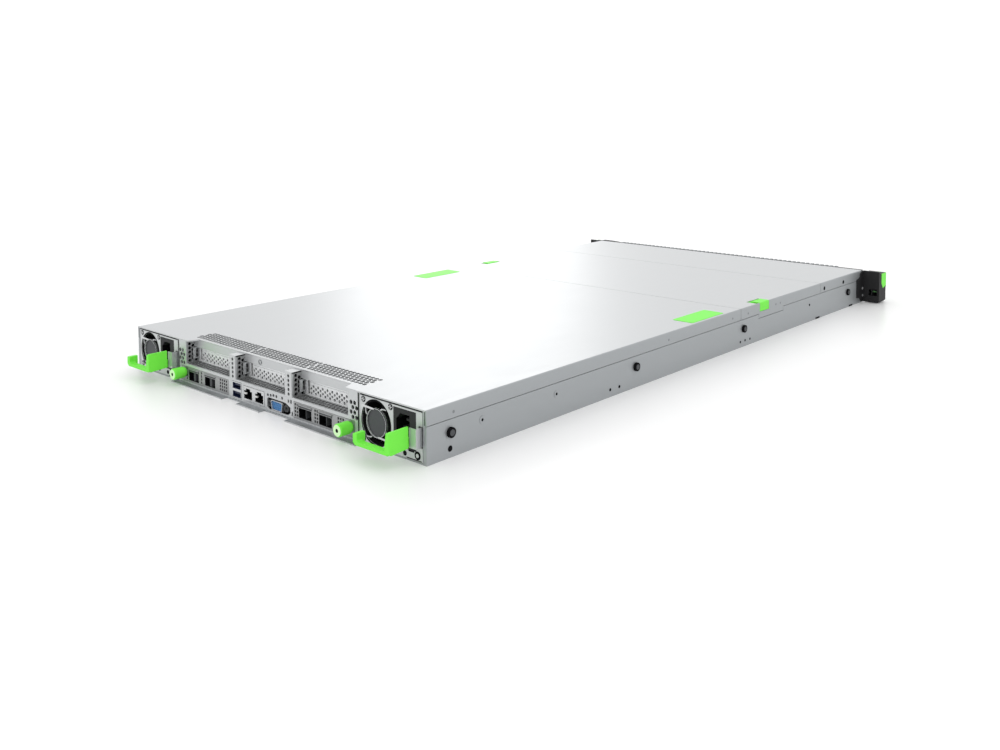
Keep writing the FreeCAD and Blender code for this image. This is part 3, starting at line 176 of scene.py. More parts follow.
def honeycomb(a_span, b_span, pitch, hole, sides=6, turn=0.0):
    """Staggered holes in rows along the first direction, as many as fit the rectangle."""
    step = pitch * math.sqrt(3.0) / 2.0
    rows = int((abs(b_span[1] - b_span[0]) - hole) / step + ROUNDING) + 1
    first = (b_span[0] + b_span[1] - (rows - 1) * step) / 2.0
    cells = []
    for row in range(rows):
        low = min(a_span) + hole / 2.0 + (row % 2) * pitch / 2.0
        count = int((max(a_span) - hole / 2.0 - low) / pitch + ROUNDING) + 1
        for i in range(count):
            cells.append(polygon((low + i * pitch, first + row * step), hole / 2.0, sides, turn))
    return cells


def columns(a_middle, count, b_span, pitch, hole):
    """Staggered hexagons in upright columns about a middle."""
    step = pitch * math.sqrt(3.0) / 2.0
    cells = []
    for i in range(count):
        a = a_middle + (i - (count - 1) / 2.0) * step
        b = min(b_span) + hole / 2.0 + (i % 2) * pitch / 2.0
        while b + hole / 2.0 <= max(b_span):
            cells.append(polygon((a, b), hole / 2.0, 6))
            b += pitch
    return cells


def piece(name, shapes, body, material, replaced=()):
    """One object made of several shapes, riding on a body."""
    verts = []
    faces = []
    for points, sides in shapes:
        start = len(verts)
        verts += [place(*point) for point in points]
        faces += [tuple(start + i for i in side) for side in sides]
    mesh = bpy.data.meshes.new(name)
    mesh.from_pydata(verts, [], faces)
    tidy = bmesh.new()
    tidy.from_mesh(mesh)
    bmesh.ops.recalc_face_normals(tidy, faces=tidy.faces)
    tidy.to_mesh(mesh)
    tidy.free()
    mesh.shade_smooth()
    mesh.set_sharp_from_angle(angle=SMOOTH_ANGLE)
    mesh.materials.append(material)
    obj = bpy.data.objects.new(name, mesh)
    bpy.context.scene.collection.objects.link(obj)
    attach(obj, body)
    if replaced:
        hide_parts(*replaced)
    return obj


# Materials
GRAIN_DEPTH = 0.0002
GRAIN_DETAIL = 4.0
METAL_GRAIN = 140.0
BRUSHED = (1.0, 0.12, 1.0)
PLASTIC_GRAIN = 900.0
EVEN = (1.0, 1.0, 1.0)


def principled(name, colour, metallic=0.0, roughness=0.5, coat=0.0):
    mat = bpy.data.materials.new(name)
    mat.use_nodes = True
    shader = mat.node_tree.nodes["Principled BSDF"]
    shader.inputs["Base Color"].default_value = (*colour, 1.0)
    shader.inputs["Metallic"].default_value = metallic
    shader.inputs["Roughness"].default_value = roughness
    shader.inputs["Coat Weight"].default_value = coat
    return mat


def add_grain(mat, scale, stretch, rough_span, bump, tint=0.0):
    """Fine noise: it varies the roughness, the height and, a little, the colour."""
    nodes = mat.node_tree.nodes
    links = mat.node_tree.links
    shader = nodes["Principled BSDF"]
    coords = nodes.new("ShaderNodeTexCoord")
    mapping = nodes.new("ShaderNodeMapping")
    mapping.inputs["Scale"].default_value = stretch
    noise = nodes.new("ShaderNodeTexNoise")
    noise.inputs["Scale"].default_value = scale
    noise.inputs["Detail"].default_value = GRAIN_DETAIL
    links.new(coords.outputs["Object"], mapping.inputs["Vector"])
    links.new(mapping.outputs["Vector"], noise.inputs["Vector"])
    remap = nodes.new("ShaderNodeMapRange")
    remap.inputs["To Min"].default_value = rough_span[0]
    remap.inputs["To Max"].default_value = rough_span[1]
    links.new(noise.outputs["Fac"], remap.inputs["Value"])
    links.new(remap.outputs["Result"], shader.inputs["Roughness"])
    if bump:
        height = nodes.new("ShaderNodeBump")
        height.inputs["Strength"].default_value = bump
        height.inputs["Distance"].default_value = GRAIN_DEPTH
        links.new(noise.outputs["Fac"], height.inputs["Height"])
        links.new(height.outputs["Normal"], shader.inputs["Normal"])
    if tint:
        colour = shader.inputs["Base Color"].default_value[:3]
        mix = nodes.new("ShaderNodeMix")
        mix.data_type = "RGBA"
        mix.inputs[6].default_value = (*[c * (1.0 - tint) for c in colour], 1.0)
        mix.inputs[7].default_value = (*[min(1.0, c * (1.0 + tint)) for c in colour], 1.0)
        links.new(noise.outputs["Fac"], mix.inputs[0])
        links.new(mix.outputs[2], shader.inputs["Base Color"])
    return mat


def sheet_metal(name, tone, roughness, metallic=0.75, blue=0.01):
    """Grained steel; blue is how far its grey leans to blue."""
    colour = (tone * (1.0 - 1.5 * blue), tone, tone * (1.0 + blue))
    mat = principled(name, colour, metallic, roughness)
    return add_grain(mat, METAL_GRAIN, BRUSHED, (roughness - 0.05, roughness + 0.06), 0.05, 0.03)


def plastic(name, colour, roughness=0.5, coat=0.0, gloss=0.5):
    mat = principled(name, colour, 0.0, roughness, coat)
    mat.node_tree.nodes["Principled BSDF"].inputs["Specular IOR Level"].default_value = gloss
    return add_grain(mat, PLASTIC_GRAIN, EVEN, (roughness - 0.05, roughness + 0.08), 0.1, 0.04)


MATERIALS = {
    "cover_steel": sheet_metal("cover_steel", 0.53, 0.38, 0.75, 0.015),
    # Side steel: the cover steel made darker, as painted shade on upright sides, skirts and edges.
    "side_steel": sheet_metal("side_steel", 0.385, 0.46, 0.75, 0.03),
    "bright_steel": sheet_metal("bright_steel", 0.56, 0.40, 0.6, 0.015),
    "port_metal": sheet_metal("port_metal", 0.62, 0.26, 0.9),
    "black_plastic": plastic("black_plastic", (0.010, 0.010, 0.011), 0.55, 0.0, 0.3),
    "grey_plastic": plastic("grey_plastic", (0.10, 0.105, 0.11), 0.5),
    "green_plastic": plastic("green_plastic", (0.17, 0.80, 0.060), 0.45, 0.0, 0.3),
    "blue_plastic": plastic("blue_plastic", (0.040, 0.18, 0.42), 0.45),
    "board": plastic("board", (0.012, 0.10, 0.035), 0.35, 0.3),
    "cooler": sheet_metal("cooler", 0.80, 0.3),
}
PALE_GREEN = plastic("pale_green", (0.62, 0.92, 0.50), 0.5)
NAVY = plastic("navy_plastic", (0.010, 0.016, 0.05), 0.4)
GREY_DISC = plastic("hub_grey", (0.062, 0.065, 0.070), 0.5, 0.0, 0.3)
MOSS = plastic("ear_moss", (0.07, 0.20, 0.06), 0.5)
INLET_GREY = plastic("inlet_grey", (0.020, 0.020, 0.022), 0.55, 0.0, 0.25)
# Black of the socket bodies, and painted shade: the dark plates, discs and strips set behind holes, in
# gaps and in recesses.
DARK = plastic("black_and_painted_shade", (0.003, 0.003, 0.004), 0.8, 0.0, 0.08)
PEARL = plastic("spring_tab", (0.75, 0.75, 0.73), 0.4)
# Pocket steel: the frame's steel made darker, as painted shade in the recessed slot pockets.
POCKET_SHADED_STEEL = sheet_metal("pocket_shaded_steel", 0.34, 0.42)
BRACKET_STEEL = sheet_metal("bracket_steel", 0.85, 0.42, 0.3)
MODULE_STEEL = sheet_metal("module_steel", 0.36, 0.40)
MARK_GREY = sheet_metal("mark_grey", 0.24, 0.5, 0.75, 0.03)
GOLD = plastic("contact_gold", (0.30, 0.20, 0.06), 0.4)


def paint(obj, mat):
    obj.data.materials.clear()
    obj.data.materials.append(mat)


for row in frame["record"]["subparts"]:
    paint(NODES[row["node"]], MATERIALS[row["material_slot"]])
for number in (1, 2):
    paint(NODES[f"psu_{number}_inlet"], INLET_GREY)
    paint(NODES[f"psu_{number}_case"], MATERIALS["bright_steel"])


# Covers: a top sheet, and side skirts with a rounded upper edge
SKIRT_ROUND = 0.9
SKIRT_STEPS = 4


def skirt(side, span, low):
    outer = HALF_W - SKIRT_ROUND
    upper = TOP - SKIRT_ROUND
    points = [(HALF_W - SHEET, UNDER), (HALF_W - SHEET, low), (HALF_W, low)]
    for step in range(SKIRT_STEPS + 1):
        t = math.pi / 2.0 * step / SKIRT_STEPS
        points.append((outer + SKIRT_ROUND * math.cos(t), upper + SKIRT_ROUND * math.sin(t)))
    points.append((HALF_W - SHEET, TOP))
    return prism("Y", span, mirrored(side, points))


def cover(name, body, points, holes, skirts, replaced):
    """The top sheet with its holes, and the skirts as a piece of their own, in the darker side steel
    as painted shade on the upright sides.
    """
    top = pierced("Z", (UNDER, TOP), points, holes)
    piece(name + "_top", [top], body, MATERIALS["cover_steel"], replaced)
    piece(name + "_skirts", skirts, body, MATERIALS["side_steel"])


NOTCH_OUT = 121.5
NOTCH_IN = 117.0
GRILLE_PITCH = 4.97
GRILLE_HOLE = 4.7
GRILLE_FROM = (-129.5, -32.6)
GRILLE_COUNTS = (16, 17, 18)
GRILLE_ROWS = 5
GRILLE_WEB = 1.8
GRILLE_SHADE_Y = (-37.5, -11.5)
GRILLE_END = 131.0
SHADE_T = 0.6
RIB_COUNT = 52
RIB_PITCH = 7.0
RIB_HALF = 1.7
RIB_Y = (FRONT_Y - 10.0, FRONT_Y - 5.0)
RIB_RISE = 0.3


def grille_holes():
    """Staggered rows in three fields along the rear edge, parted by thin zigzag webs."""
    cells = []
    step = GRILLE_PITCH * math.sqrt(3.0) / 2.0
    start = GRILLE_FROM[0] + GRILLE_HOLE / 2.0
    for count in GRILLE_COUNTS:
        for row in range(GRILLE_ROWS):
            y = GRILLE_FROM[1] + row * step
            for i in range(count):
                x = start + (i + (row % 2) / 2.0) * GRILLE_PITCH
                cells.append(polygon((x, y), GRILLE_HOLE / 2.0, 6, HEX_TURN))
        start += count * GRILLE_PITCH + GRILLE_WEB
    return cells


def covers():
    rear = spans("rear_cover")[1]
    edge = HALF_W - SHEET
    points = [(-edge, rear[0]), (edge, rear[0]), (edge, 0.0), (NOTCH_OUT, 0.0), (NOTCH_IN, FASCIA_Y)]
    points += [(-NOTCH_IN, FASCIA_Y), (-NOTCH_OUT, 0.0), (-edge, 0.0)]
    skirts = [skirt(side, rear, SEAM_Z) for side in (1, -1)]
    cover("rear_lid", "rear_cover", points, grille_holes(), skirts, ("rear_cover",))
    shade = block(about(0.0, GRILLE_END), GRILLE_SHADE_Y, (UNDER - SHADE_T, UNDER))
    piece("grille_shade", [shade], "rear_cover", DARK)
    front_cover()
    middle_cover()


def front_cover():
    """The fixed cover, and the row of small ribs on the panel before it."""
    span = spans("front_cover")[1]
    edge = HALF_W - SHEET
    points = rect((-edge, edge), span)
    skirts = [skirt(side, span, SEAM_Z) for side in (1, -1)]
    cover("front_lid", "chassis", points, [], skirts, ("front_cover",))
    ribs = []
    for i in range(RIB_COUNT):
        x = (i - (RIB_COUNT - 1) / 2.0) * RIB_PITCH
        ribs.append(block(about(x, RIB_HALF), RIB_Y, (UNDER, TOP + RIB_RISE)))
    piece("panel_ribs", ribs, "chassis", MATERIALS["side_steel"])


DEEP_Y = (-574.7, -515.3)
KEY_Y = (-539.0, -518.0)
KEY_IN = 206.0
KEY_LOW = 33.3
KEY_NOTCH_Y = (-539.4, -512.0)
KEY_TRAVEL = 2.8
KEY_GAP = 0.4
KEY_CLEAR = 0.3
KEY_CORNER = 0.9
TONGUE_IN = HALF_W - 31.0
TONGUE_LAP = 3.0
TONGUE_T = 1.5
TONGUE_PLAY = 0.1


def middle_cover():
    """The fan cover: a notch for each latch key, and deeper skirts below the keys."""
    _, span, heights = spans("middle_cover")
    notch_x = KEY_IN - KEY_TRAVEL
    edge = HALF_W - SHEET
    right = [(edge, span[0]), (edge, KEY_NOTCH_Y[0]), (notch_x, KEY_NOTCH_Y[0])]
    right += [(notch_x, KEY_NOTCH_Y[1]), (edge, KEY_NOTCH_Y[1]), (edge, span[1])]
    points = right + [(-a, b) for a, b in reversed(right)]
    skirts = []
    for side in (1, -1):
        skirts.append(skirt(side, (span[0], KEY_NOTCH_Y[0]), SEAM_Z))
        skirts.append(skirt(side, (KEY_Y[1] + KEY_GAP, span[1]), SEAM_Z))
        wall = (side * edge, side * HALF_W)
        skirts.append(block(wall, DEEP_Y, (heights[0], SEAM_Z)))
        skirts.append(block(wall, (KEY_NOTCH_Y[0], KEY_Y[1] + KEY_GAP), (SEAM_Z, KEY_LOW - KEY_CLEAR)))
    cover("fan_lid", "middle_cover", points, [], skirts, ("middle_cover",))


def latch_keys():
    """Each key wraps the cover's edge; its tongue lies under the sheet."""
    for side, name in ((1, "cover_latch_right"), (-1, "cover_latch_left")):
        top = spans(name)[2][1]
        tongue_y = spans(name)[1]
        under = UNDER - TONGUE_PLAY
        outline = [(HALF_W, KEY_LOW), (HALF_W, top - KEY_CORNER), (HALF_W - KEY_CORNER, top)]
        outline += [(KEY_IN, top), (KEY_IN, under), (HALF_W - SHEET, under), (HALF_W - SHEET, KEY_LOW)]
        key = prism("Y", KEY_Y, mirrored(side, outline))
        tongue_x = (side * TONGUE_IN, side * (KEY_IN + TONGUE_LAP))
        tongue = block(tongue_x, tongue_y, (under - TONGUE_T, under))
        piece(name + "_key", [key, tongue], name, MATERIALS["green_plastic"], (name,))


covers()
latch_keys()


# Rear frame with its pockets
POST_X = (SLOT_PITCH / 2.0, -SLOT_PITCH / 2.0)
PORTS = {"usb": spans("usb_ports"), "lan": spans("network_ports")}
PORT_PLAY = 0.3
MODULE_CUT_Z = (2.6, 17.3)
VGA_X = -26.7
VGA_Z = 8.2
VGA_WELL = ((15.9, 11.5), (14.2, 13.2), (-11.3, 13.2), (-18.7, 10.2),
            (-18.7, 5.4), (-15.1, 2.8), (12.8, 2.8), (15.9, 4.6))
AIR_HOLES = ((-12.0, 15.3), (-16.3, 15.6), (-20.4, 16.3), (-24.8, 16.2), (-33.3, 16.4))
AIR_HOLE_R = 1.4
OBLONGS = (((-42.6, 0.9), (15.6, 1.4)), ((-46.3, 1.1), (15.7, 1.7)), ((-48.0, 1.0), (5.3, 1.9)))
FIELD_PITCH = 4.6
FIELD_HOLE = 4.1
END_FIELD_X = (126.1, 137.2)
END_FIELD_Z = (18.1, 34.2)
POST_FIELD_Z = (20.4, 40.6)
POST_FIELD_SHIFT = 0.2
POST_HOLES = (4.0, 3.2)
POST_HALF = 5.25
FLOOR_HOLES = (4.4, 3.7)
FLOOR_MARGIN = 0.6
WALL_COLUMNS = 3
WALL_HOLES = (4.1, 3.4)
POCKET_SHADE = 0.3
DEEP = (-SLOT_DEPTH, -SHEET)
FOOT_DEPTH = 3.0
FOOT_H = 0.8
BOSS_IN = 123.0
BOSS_Y = (-12.0, -4.0)
BOSS_Z = (6.8, 15.8)
TAB_X = (SLOT_PITCH / 2.0 + 1.5, -SLOT_PITCH / 2.0 + 1.5, SLOT_PITCH * 1.5 + 1.6)
TAB_Z = 38.2
TAB_R = 3.1
TAB_T = 0.8
BUTTON_AT = (13.6, 38.4)
BUTTON_R = (2.4, 1.7)
EDGE_RIB = (1.0, 0.6)
LAP = 0.05
BAY_GAP_X = (137.0, 138.6)
CORNER_GAP_X = (215.5, 216.2)
LID_GAP_OUT = 213.2


def widened(span, play):
    return (span[0] - play, span[1] + play)


def port_cutouts():
    cutouts = []
    for number in (1, 2):
        module_x = spans(f"network_module_{number}")[0]
        cutouts.append(rect(widened(module_x, PORT_PLAY), MODULE_CUT_Z))
    for port in PORTS.values():
        cutouts.append(rect(widened(port[0], PORT_PLAY), widened(port[2], PORT_PLAY)))
    return cutouts


def vga_cutout():
    """The opening round the video socket: a rectangle with one long and three short corners."""
    return [(VGA_X + a, b) for a, b in VGA_WELL]


def small_marks():
    """Round air holes above the video socket and oblong holes beside it."""
    holes = [polygon(dot, AIR_HOLE_R, 12) for dot in AIR_HOLES]
    holes += [rect(about(*across), about(*upward)) for across, upward in OBLONGS]
    return holes


def frame_face():
    points = [(BAY_X, SHEET), (BAY_X, UNDER)]
    for centre in SLOT_X:
        high, low = centre + SLOT_W / 2.0, centre - SLOT_W / 2.0
        points += [(high, UNDER), (high, SLOT_FLOOR), (low, SLOT_FLOOR), (low, UNDER)]
    points += [(-BAY_X, UNDER), (-BAY_X, SHEET)]
    holes = port_cutouts() + [vga_cutout()] + small_marks()
    for x in POST_X:
        holes += columns(x + POST_FIELD_SHIFT, 1, POST_FIELD_Z, *POST_HOLES)
    for side in (1, -1):
        field = (side * END_FIELD_X[0], side * END_FIELD_X[1])
        holes += honeycomb(field, END_FIELD_Z, FIELD_PITCH, FIELD_HOLE, 6, HEX_TURN)
    return pierced("Y", (-SHEET, 0.0), points, holes)


def pocket(centre):
    """Perforated floor and walls of one expansion slot."""
    half = SLOT_W / 2.0
    field = (DEEP[0] + 0.5, DEEP[1] - 0.3)
    floor_holes = honeycomb(about(centre, half - FLOOR_MARGIN), field, *FLOOR_HOLES, 6, HEX_TURN)
    floor_points = rect(about(centre, half + SHEET), DEEP)
    floor = pierced("Z", (SLOT_FLOOR - SHEET, SLOT_FLOOR), floor_points, floor_holes)
    wall_holes = columns(sum(DEEP) / 2.0, WALL_COLUMNS, POST_FIELD_Z, *WALL_HOLES)
    wall_points = rect(DEEP, (SLOT_FLOOR, UNDER))
    left = pierced("X", (centre + half, centre + half + SHEET), wall_points, wall_holes)
    right = block((centre - half - SHEET, centre - half), DEEP, (SLOT_FLOOR, UNDER))
    return [floor, left, right]


def pocket_shade(centre):
    """Dark sheets behind the perforations."""
    edge = centre + SLOT_W / 2.0 + SHEET
    wall = block((edge, edge + POCKET_SHADE), DEEP, (SLOT_FLOOR, UNDER - SHEET))
    below = SLOT_FLOOR - SHEET
    floor = block(about(centre, SLOT_W / 2.0), DEEP, (below - POCKET_SHADE, below))
    return [wall, floor]


def fascia(centre):
    """The bent flange over one slot, with its lower return."""
    half = SLOT_W / 2.0
    face = block(about(centre, half), (FASCIA_Y - SHEET, FASCIA_Y), (FASCIA_LOW, UNDER))
    foot_y = (FASCIA_Y - FOOT_DEPTH, FASCIA_Y - SHEET)
    foot = block(about(centre, half), foot_y, (FASCIA_LOW, FASCIA_LOW + FOOT_H))
    return [face, foot]


def frame_solid():
    """The face, the bay walls, the bosses of the thumbscrews and the flanges under the lid."""
    shapes = [frame_face()]
    for side in (1, -1):
        wall = (side * (BAY_X - SHEET), side * BAY_X)
        shapes.append(block(wall, (BAY_WALL_Y, -SHEET), (SHEET, UNDER)))
        shapes.append(block((side * BOSS_IN, side * (BAY_X - SHEET)), BOSS_Y, BOSS_Z))
        strip = (side * END_STRIP_X, side * BAY_X)
        shapes.append(block(strip, (FASCIA_Y, -SHEET), (UNDER - SHEET, UNDER - LAP)))
    for centre in SLOT_X:
        shapes += fascia(centre)
    for x in TAB_X:
        shapes.append(rod("Y", (FASCIA_Y, FASCIA_Y + TAB_T), (x, TAB_Z), TAB_R))
    for x in POST_X:
        edge = x - POST_HALF
        shapes.append(block((edge, edge + EDGE_RIB[0]), (0.0, EDGE_RIB[1]), (SLOT_FLOOR, UNDER)))
        shapes.append(block(about(x, POST_HALF), (FASCIA_Y, LAP), (UNDER - SHEET, UNDER + LAP)))
    return shapes


def frame_pieces():
    piece("rear_face", frame_solid(), "chassis", MATERIALS["bright_steel"],
          ("rear_frame",))
    pockets = []
    shades = []
    for centre in SLOT_X:
        pockets += pocket(centre)
        shades += pocket_shade(centre)
    for side in (1, -1):
        bay_x = (side * BAY_GAP_X[0], side * BAY_GAP_X[1])
        shades.append(block(bay_x, (-0.1, 0.06), (6.0, UNDER - 0.1)))
        corner_x = (side * CORNER_GAP_X[0], side * CORNER_GAP_X[1])
        shades.append(block(corner_x, (-0.1, 0.06), (SEAM_Z + 0.3, UNDER)))
        lid_x = (side * (BAY_X + 0.5), side * LID_GAP_OUT)
        shades.append(block(lid_x, (-6.0, -1.0), (40.55, UNDER - 0.1)))
    button = ring("Y", (FASCIA_Y, FASCIA_Y + 0.4), BUTTON_AT, *BUTTON_R, 20)
    piece("fascia_button", [button], "chassis", MARK_GREY)
    # Painted highlight: a thin strip of the brighter cover steel on each lip's outer edge, where the
    # sheet's edge catches the light.
    lips = [block(span, (LIP, LIP + LAP), (0.0, SHEET)) for span in LIP_SPANS]
    piece("lip_edge_highlights", lips, "chassis", MATERIALS["cover_steel"])
    piece("slot_pockets", pockets, "chassis", POCKET_SHADED_STEEL)
    piece("frame_shades", shades, "chassis", DARK)


frame_pieces()


# Slot brackets
BRACKET_PITCH = 6.5
BRACKET_ROWS = (22.4, 24.5, 26.6, 28.7)
BRACKET_HOLE_R = 1.35
BRACKET_MARGINS = (4.0, 9.0)
BRACKET_T = 1.0
SCREW_SLOT = ((7.2, 4.8), (21.0, 33.6))
RIDGE_MARGINS = (1.5, 8.2)
RIDGE_Z = (31.2, 31.9)
RIDGE_T = 0.5
LUG_X = (3.4, 2.4)
LUG_Y = (0.0, 7.2)
LUG_Z = (23.6, 34.4)
LUG_HOLE_Y = (1.6, 4.4)
LUG_HOLE_Z = (24.8, 33.4)
SLOT_SHADE_Y = (-3.0, -2.2)
SLOT_SHADE_Z = (20.0, 34.0)
SLOT_SHADE_MARGIN = 2.0


def from_back(span):
    """A span along Y, measured from the front of the brackets."""
    return (-SLOT_DEPTH + span[0], -SLOT_DEPTH + span[1])


def bracket_holes(low, high):
    """Staggered rows of round holes, and the tall slot beside them."""
    holes = []
    for row, z in enumerate(BRACKET_ROWS):
        x = low + BRACKET_MARGINS[0] + (row % 2) * BRACKET_PITCH / 2.0
        while x < high - BRACKET_MARGINS[1]:
            holes.append(polygon((x, z), BRACKET_HOLE_R, 8))
            x += BRACKET_PITCH
    slot_x, slot_z = SCREW_SLOT
    holes.append(rect((high - slot_x[0], high - slot_x[1]), slot_z))
    return holes


def brackets():
    shapes = []
    lugs = []
    slots = []
    for centre in SLOT_X:
        low, high = about(centre, SLOT_W / 2.0 + SHEET)
        plate = rect((low, high), (SLOT_FLOOR - SHEET, UNDER))
        shapes.append(pierced("Y", from_back((-BRACKET_T, 0.0)), plate, bracket_holes(low, high)))
        ridge = (low + RIDGE_MARGINS[0], high - RIDGE_MARGINS[1])
        shapes.append(block(ridge, from_back((0.0, RIDGE_T)), RIDGE_Z))
        lug = rect(from_back(LUG_Y), LUG_Z)
        lug_hole = rect(from_back(LUG_HOLE_Y), LUG_HOLE_Z)
        lugs.append(pierced("X", (high - LUG_X[0], high - LUG_X[1]), lug, [lug_hole]))
        shade_x = (low + SLOT_SHADE_MARGIN, high - SLOT_SHADE_MARGIN)
        slots.append(block(shade_x, from_back(SLOT_SHADE_Y), SLOT_SHADE_Z))
    piece("slot_covers", shapes, "chassis", BRACKET_STEEL, ("slot_brackets",))
    piece("bracket_lugs", lugs, "chassis", MATERIALS["cover_steel"])
    piece("slot_shade", slots, "chassis", DARK)


brackets()


# Ports
USB_DEPTH = -13.9
USB_TONGUE_Y = (-9.0, -1.2)
LAN_RIM = 0.5
LAN_FACE = -0.8
LAN_FROM_ENDS = (7.1, 8.2)
LAN_KEY = ((-6.2, 0.0), (6.2, 0.0), (6.2, 7.6), (3.4, 7.6),
           (3.4, 9.6), (-3.4, 9.6), (-3.4, 7.6), (-6.2, 7.6))
LAN_TAB_X = (2.8, 6.4)
LAN_PIN_PITCH = 1.02
VGA_TIP = 1.3
VGA_DEPTH = -14.0
VGA_HALF = (8.5, 4.2)
VGA_SLOPE = 1.4
VGA_CORNER = 1.1
VGA_POST_X = 12.5
VGA_FACE = VGA_TIP - 1.6


def usb_liners():
    """Dark mouths with a tongue in the two stacked sockets."""
    x, _, z = PORTS["usb"]
    middle = sum(x) / 2.0
    liners = []
    tongues = []
    for low in (z[0] + 0.9, z[1] - 6.6):
        mouth = rect(about(middle, 6.5), (low + 0.05, low + 5.65))
        inner = rect(about(middle, 6.1), (low + 0.35, low + 5.35))
        liners.append(pierced("Y", (USB_DEPTH, 0.0), mouth, [inner]))
        liners.append(block(about(middle, 6.1), (USB_DEPTH, USB_TONGUE_Y[0]), (low + 0.3, low + 5.3)))
        tongues.append(block(about(middle, 5.2), USB_TONGUE_Y, (low + 3.0, low + 4.6)))
    piece("usb_liners", liners, "chassis", NAVY)
    piece("usb_tongues", tongues, "chassis", NAVY)


def network_sockets():
    """Two black eight-pole sockets behind a bright face, with spring tabs beside the mouths."""
    x, y, z = PORTS["lan"]
    inside = rect(widened(x, -LAN_RIM), widened(z, -LAN_RIM))
    shell = pierced("Y", y, rect(x, z), [inside])
    centres = (x[1] - LAN_FROM_ENDS[0], x[0] + LAN_FROM_ENDS[1])
    low = z[0] + 1.6
    mouths = []
    tabs = []
    pins = []
    for centre in centres:
        mouths.append([(centre + a, low + b) for a, b in LAN_KEY])
        tab_x = (centre + LAN_TAB_X[0], centre + LAN_TAB_X[1])
        tabs.append(block(tab_x, (-1.2, 0.2), about(low + 4.8, 0.6)))
        for i in range(8):
            pin_x = about(centre + (i - 3.5) * LAN_PIN_PITCH, 0.2)
            pins.append(block(pin_x, (-12.0, -6.0), (low + 0.6, low + 1.1)))
    face = pierced("Y", (LAN_FACE, 0.0), inside, mouths)
    bodies = [pierced("Y", (y[0], LAN_FACE), inside, mouths)]
    bodies.append(block(widened(x, -0.6), (y[0], y[0] + 1.6), widened(z, -0.6)))
    piece("network_shell", [shell, face], "chassis", MATERIALS["port_metal"],
          ("network_ports",))
    piece("network_bodies", bodies, "chassis", DARK)
    piece("network_tabs", tabs, "chassis", PEARL)
    piece("network_contacts", pins, "chassis", GOLD)


def video_outline(grow):
    """The D form of the video socket, grown by a margin."""
    half_w = VGA_HALF[0] + grow
    half_h = VGA_HALF[1] + grow
    shoulder = half_h - VGA_CORNER
    points = [(half_w, shoulder), (half_w - VGA_CORNER, half_h), (-half_w + VGA_CORNER, half_h)]
    points += [(-half_w, shoulder), (-half_w + VGA_SLOPE, -half_h), (half_w - VGA_SLOPE, -half_h)]
    return [(VGA_X + a, VGA_Z + b) for a, b in points]


def video_socket():
    """A blue insert in a bright shell, sunk in a well between two screw posts; the well is a dark
    plate of painted shade.
    """
    shell = pierced("Y", (VGA_DEPTH, VGA_TIP), video_outline(0.0), [video_outline(-0.5)])
    posts = []
    for side in (-1, 1):
        centre = (VGA_X + side * VGA_POST_X, VGA_Z)
        posts.append(ring("Y", (-6.0, 0.0), centre, 3.3, 2.2, 6))
        posts.append(ring("Y", (-6.0, -0.6), centre, 2.3, 1.3, 16))
    well = pierced("Y", (-6.6, -6.0), vga_cutout(), [video_outline(-0.2)])
    insert = prism("Y", (VGA_DEPTH, VGA_FACE), video_outline(-0.55))
    piece("video_shell", [shell], "chassis", MATERIALS["port_metal"], ("vga_port",))
    piece("video_posts", posts, "chassis", GREY_DISC)
    piece("video_well_shade", [well], "chassis", DARK)
    piece("video_insert", [insert], "chassis", MATERIALS["blue_plastic"],
          ("vga_insert",))
    pins = []
    for row in range(3):
        for i in range(5):
            at = (VGA_X + (i - 2.0) * 2.3 + (row % 2) * 1.1 - 0.5, VGA_Z + (row - 1) * 2.0)
            pins.append(rod("Y", (VGA_FACE, VGA_FACE + 0.05), at, 0.45, 8))
    piece("video_contacts", pins, "chassis", NAVY)


usb_liners()
network_sockets()
video_socket()


# Network modules: cages, air holes and thumbscrews, placed along X for each module
CAGES = {1: ((111.1, 8.8), (82.5, 8.9)), 2: ((-66.3, 8.9), (-94.3, 8.6))}
VENTS = {1: (123.3, 97.4, 64.6, 61.1, 57.6, 54.1),
         2: (-52.5, -55.6, -80.3, -83.4, -111.5, -114.7, -117.8)}
VENT_Z = (5.6, 8.7, 11.8, 14.9)
VENT_SIZE = 2.1
CAGE_Z = (4.2, 12.9)
CAGE_DIVIDER = {1: 1.8, 2: 0.3}
CAGE_DEPTH = -41.9
CAGE_BACK = -30.0
SHADE_PLATE_Y = -SHEET - 0.8
BORE_R = 2.2
CAGE_LIP_Z = (15.1, 15.9)
CAGE_LIP_T = 0.9
RECESS_Z = (13.3, 15.1)
KNOB_NECK = 2.4
KNOB_R = 5.5
KNOB_NECK_R = 1.9
KNOB_COLLAR_R = 4.3
KNOB_FACE_R = 4.7
KNOB_BEVEL = 0.7


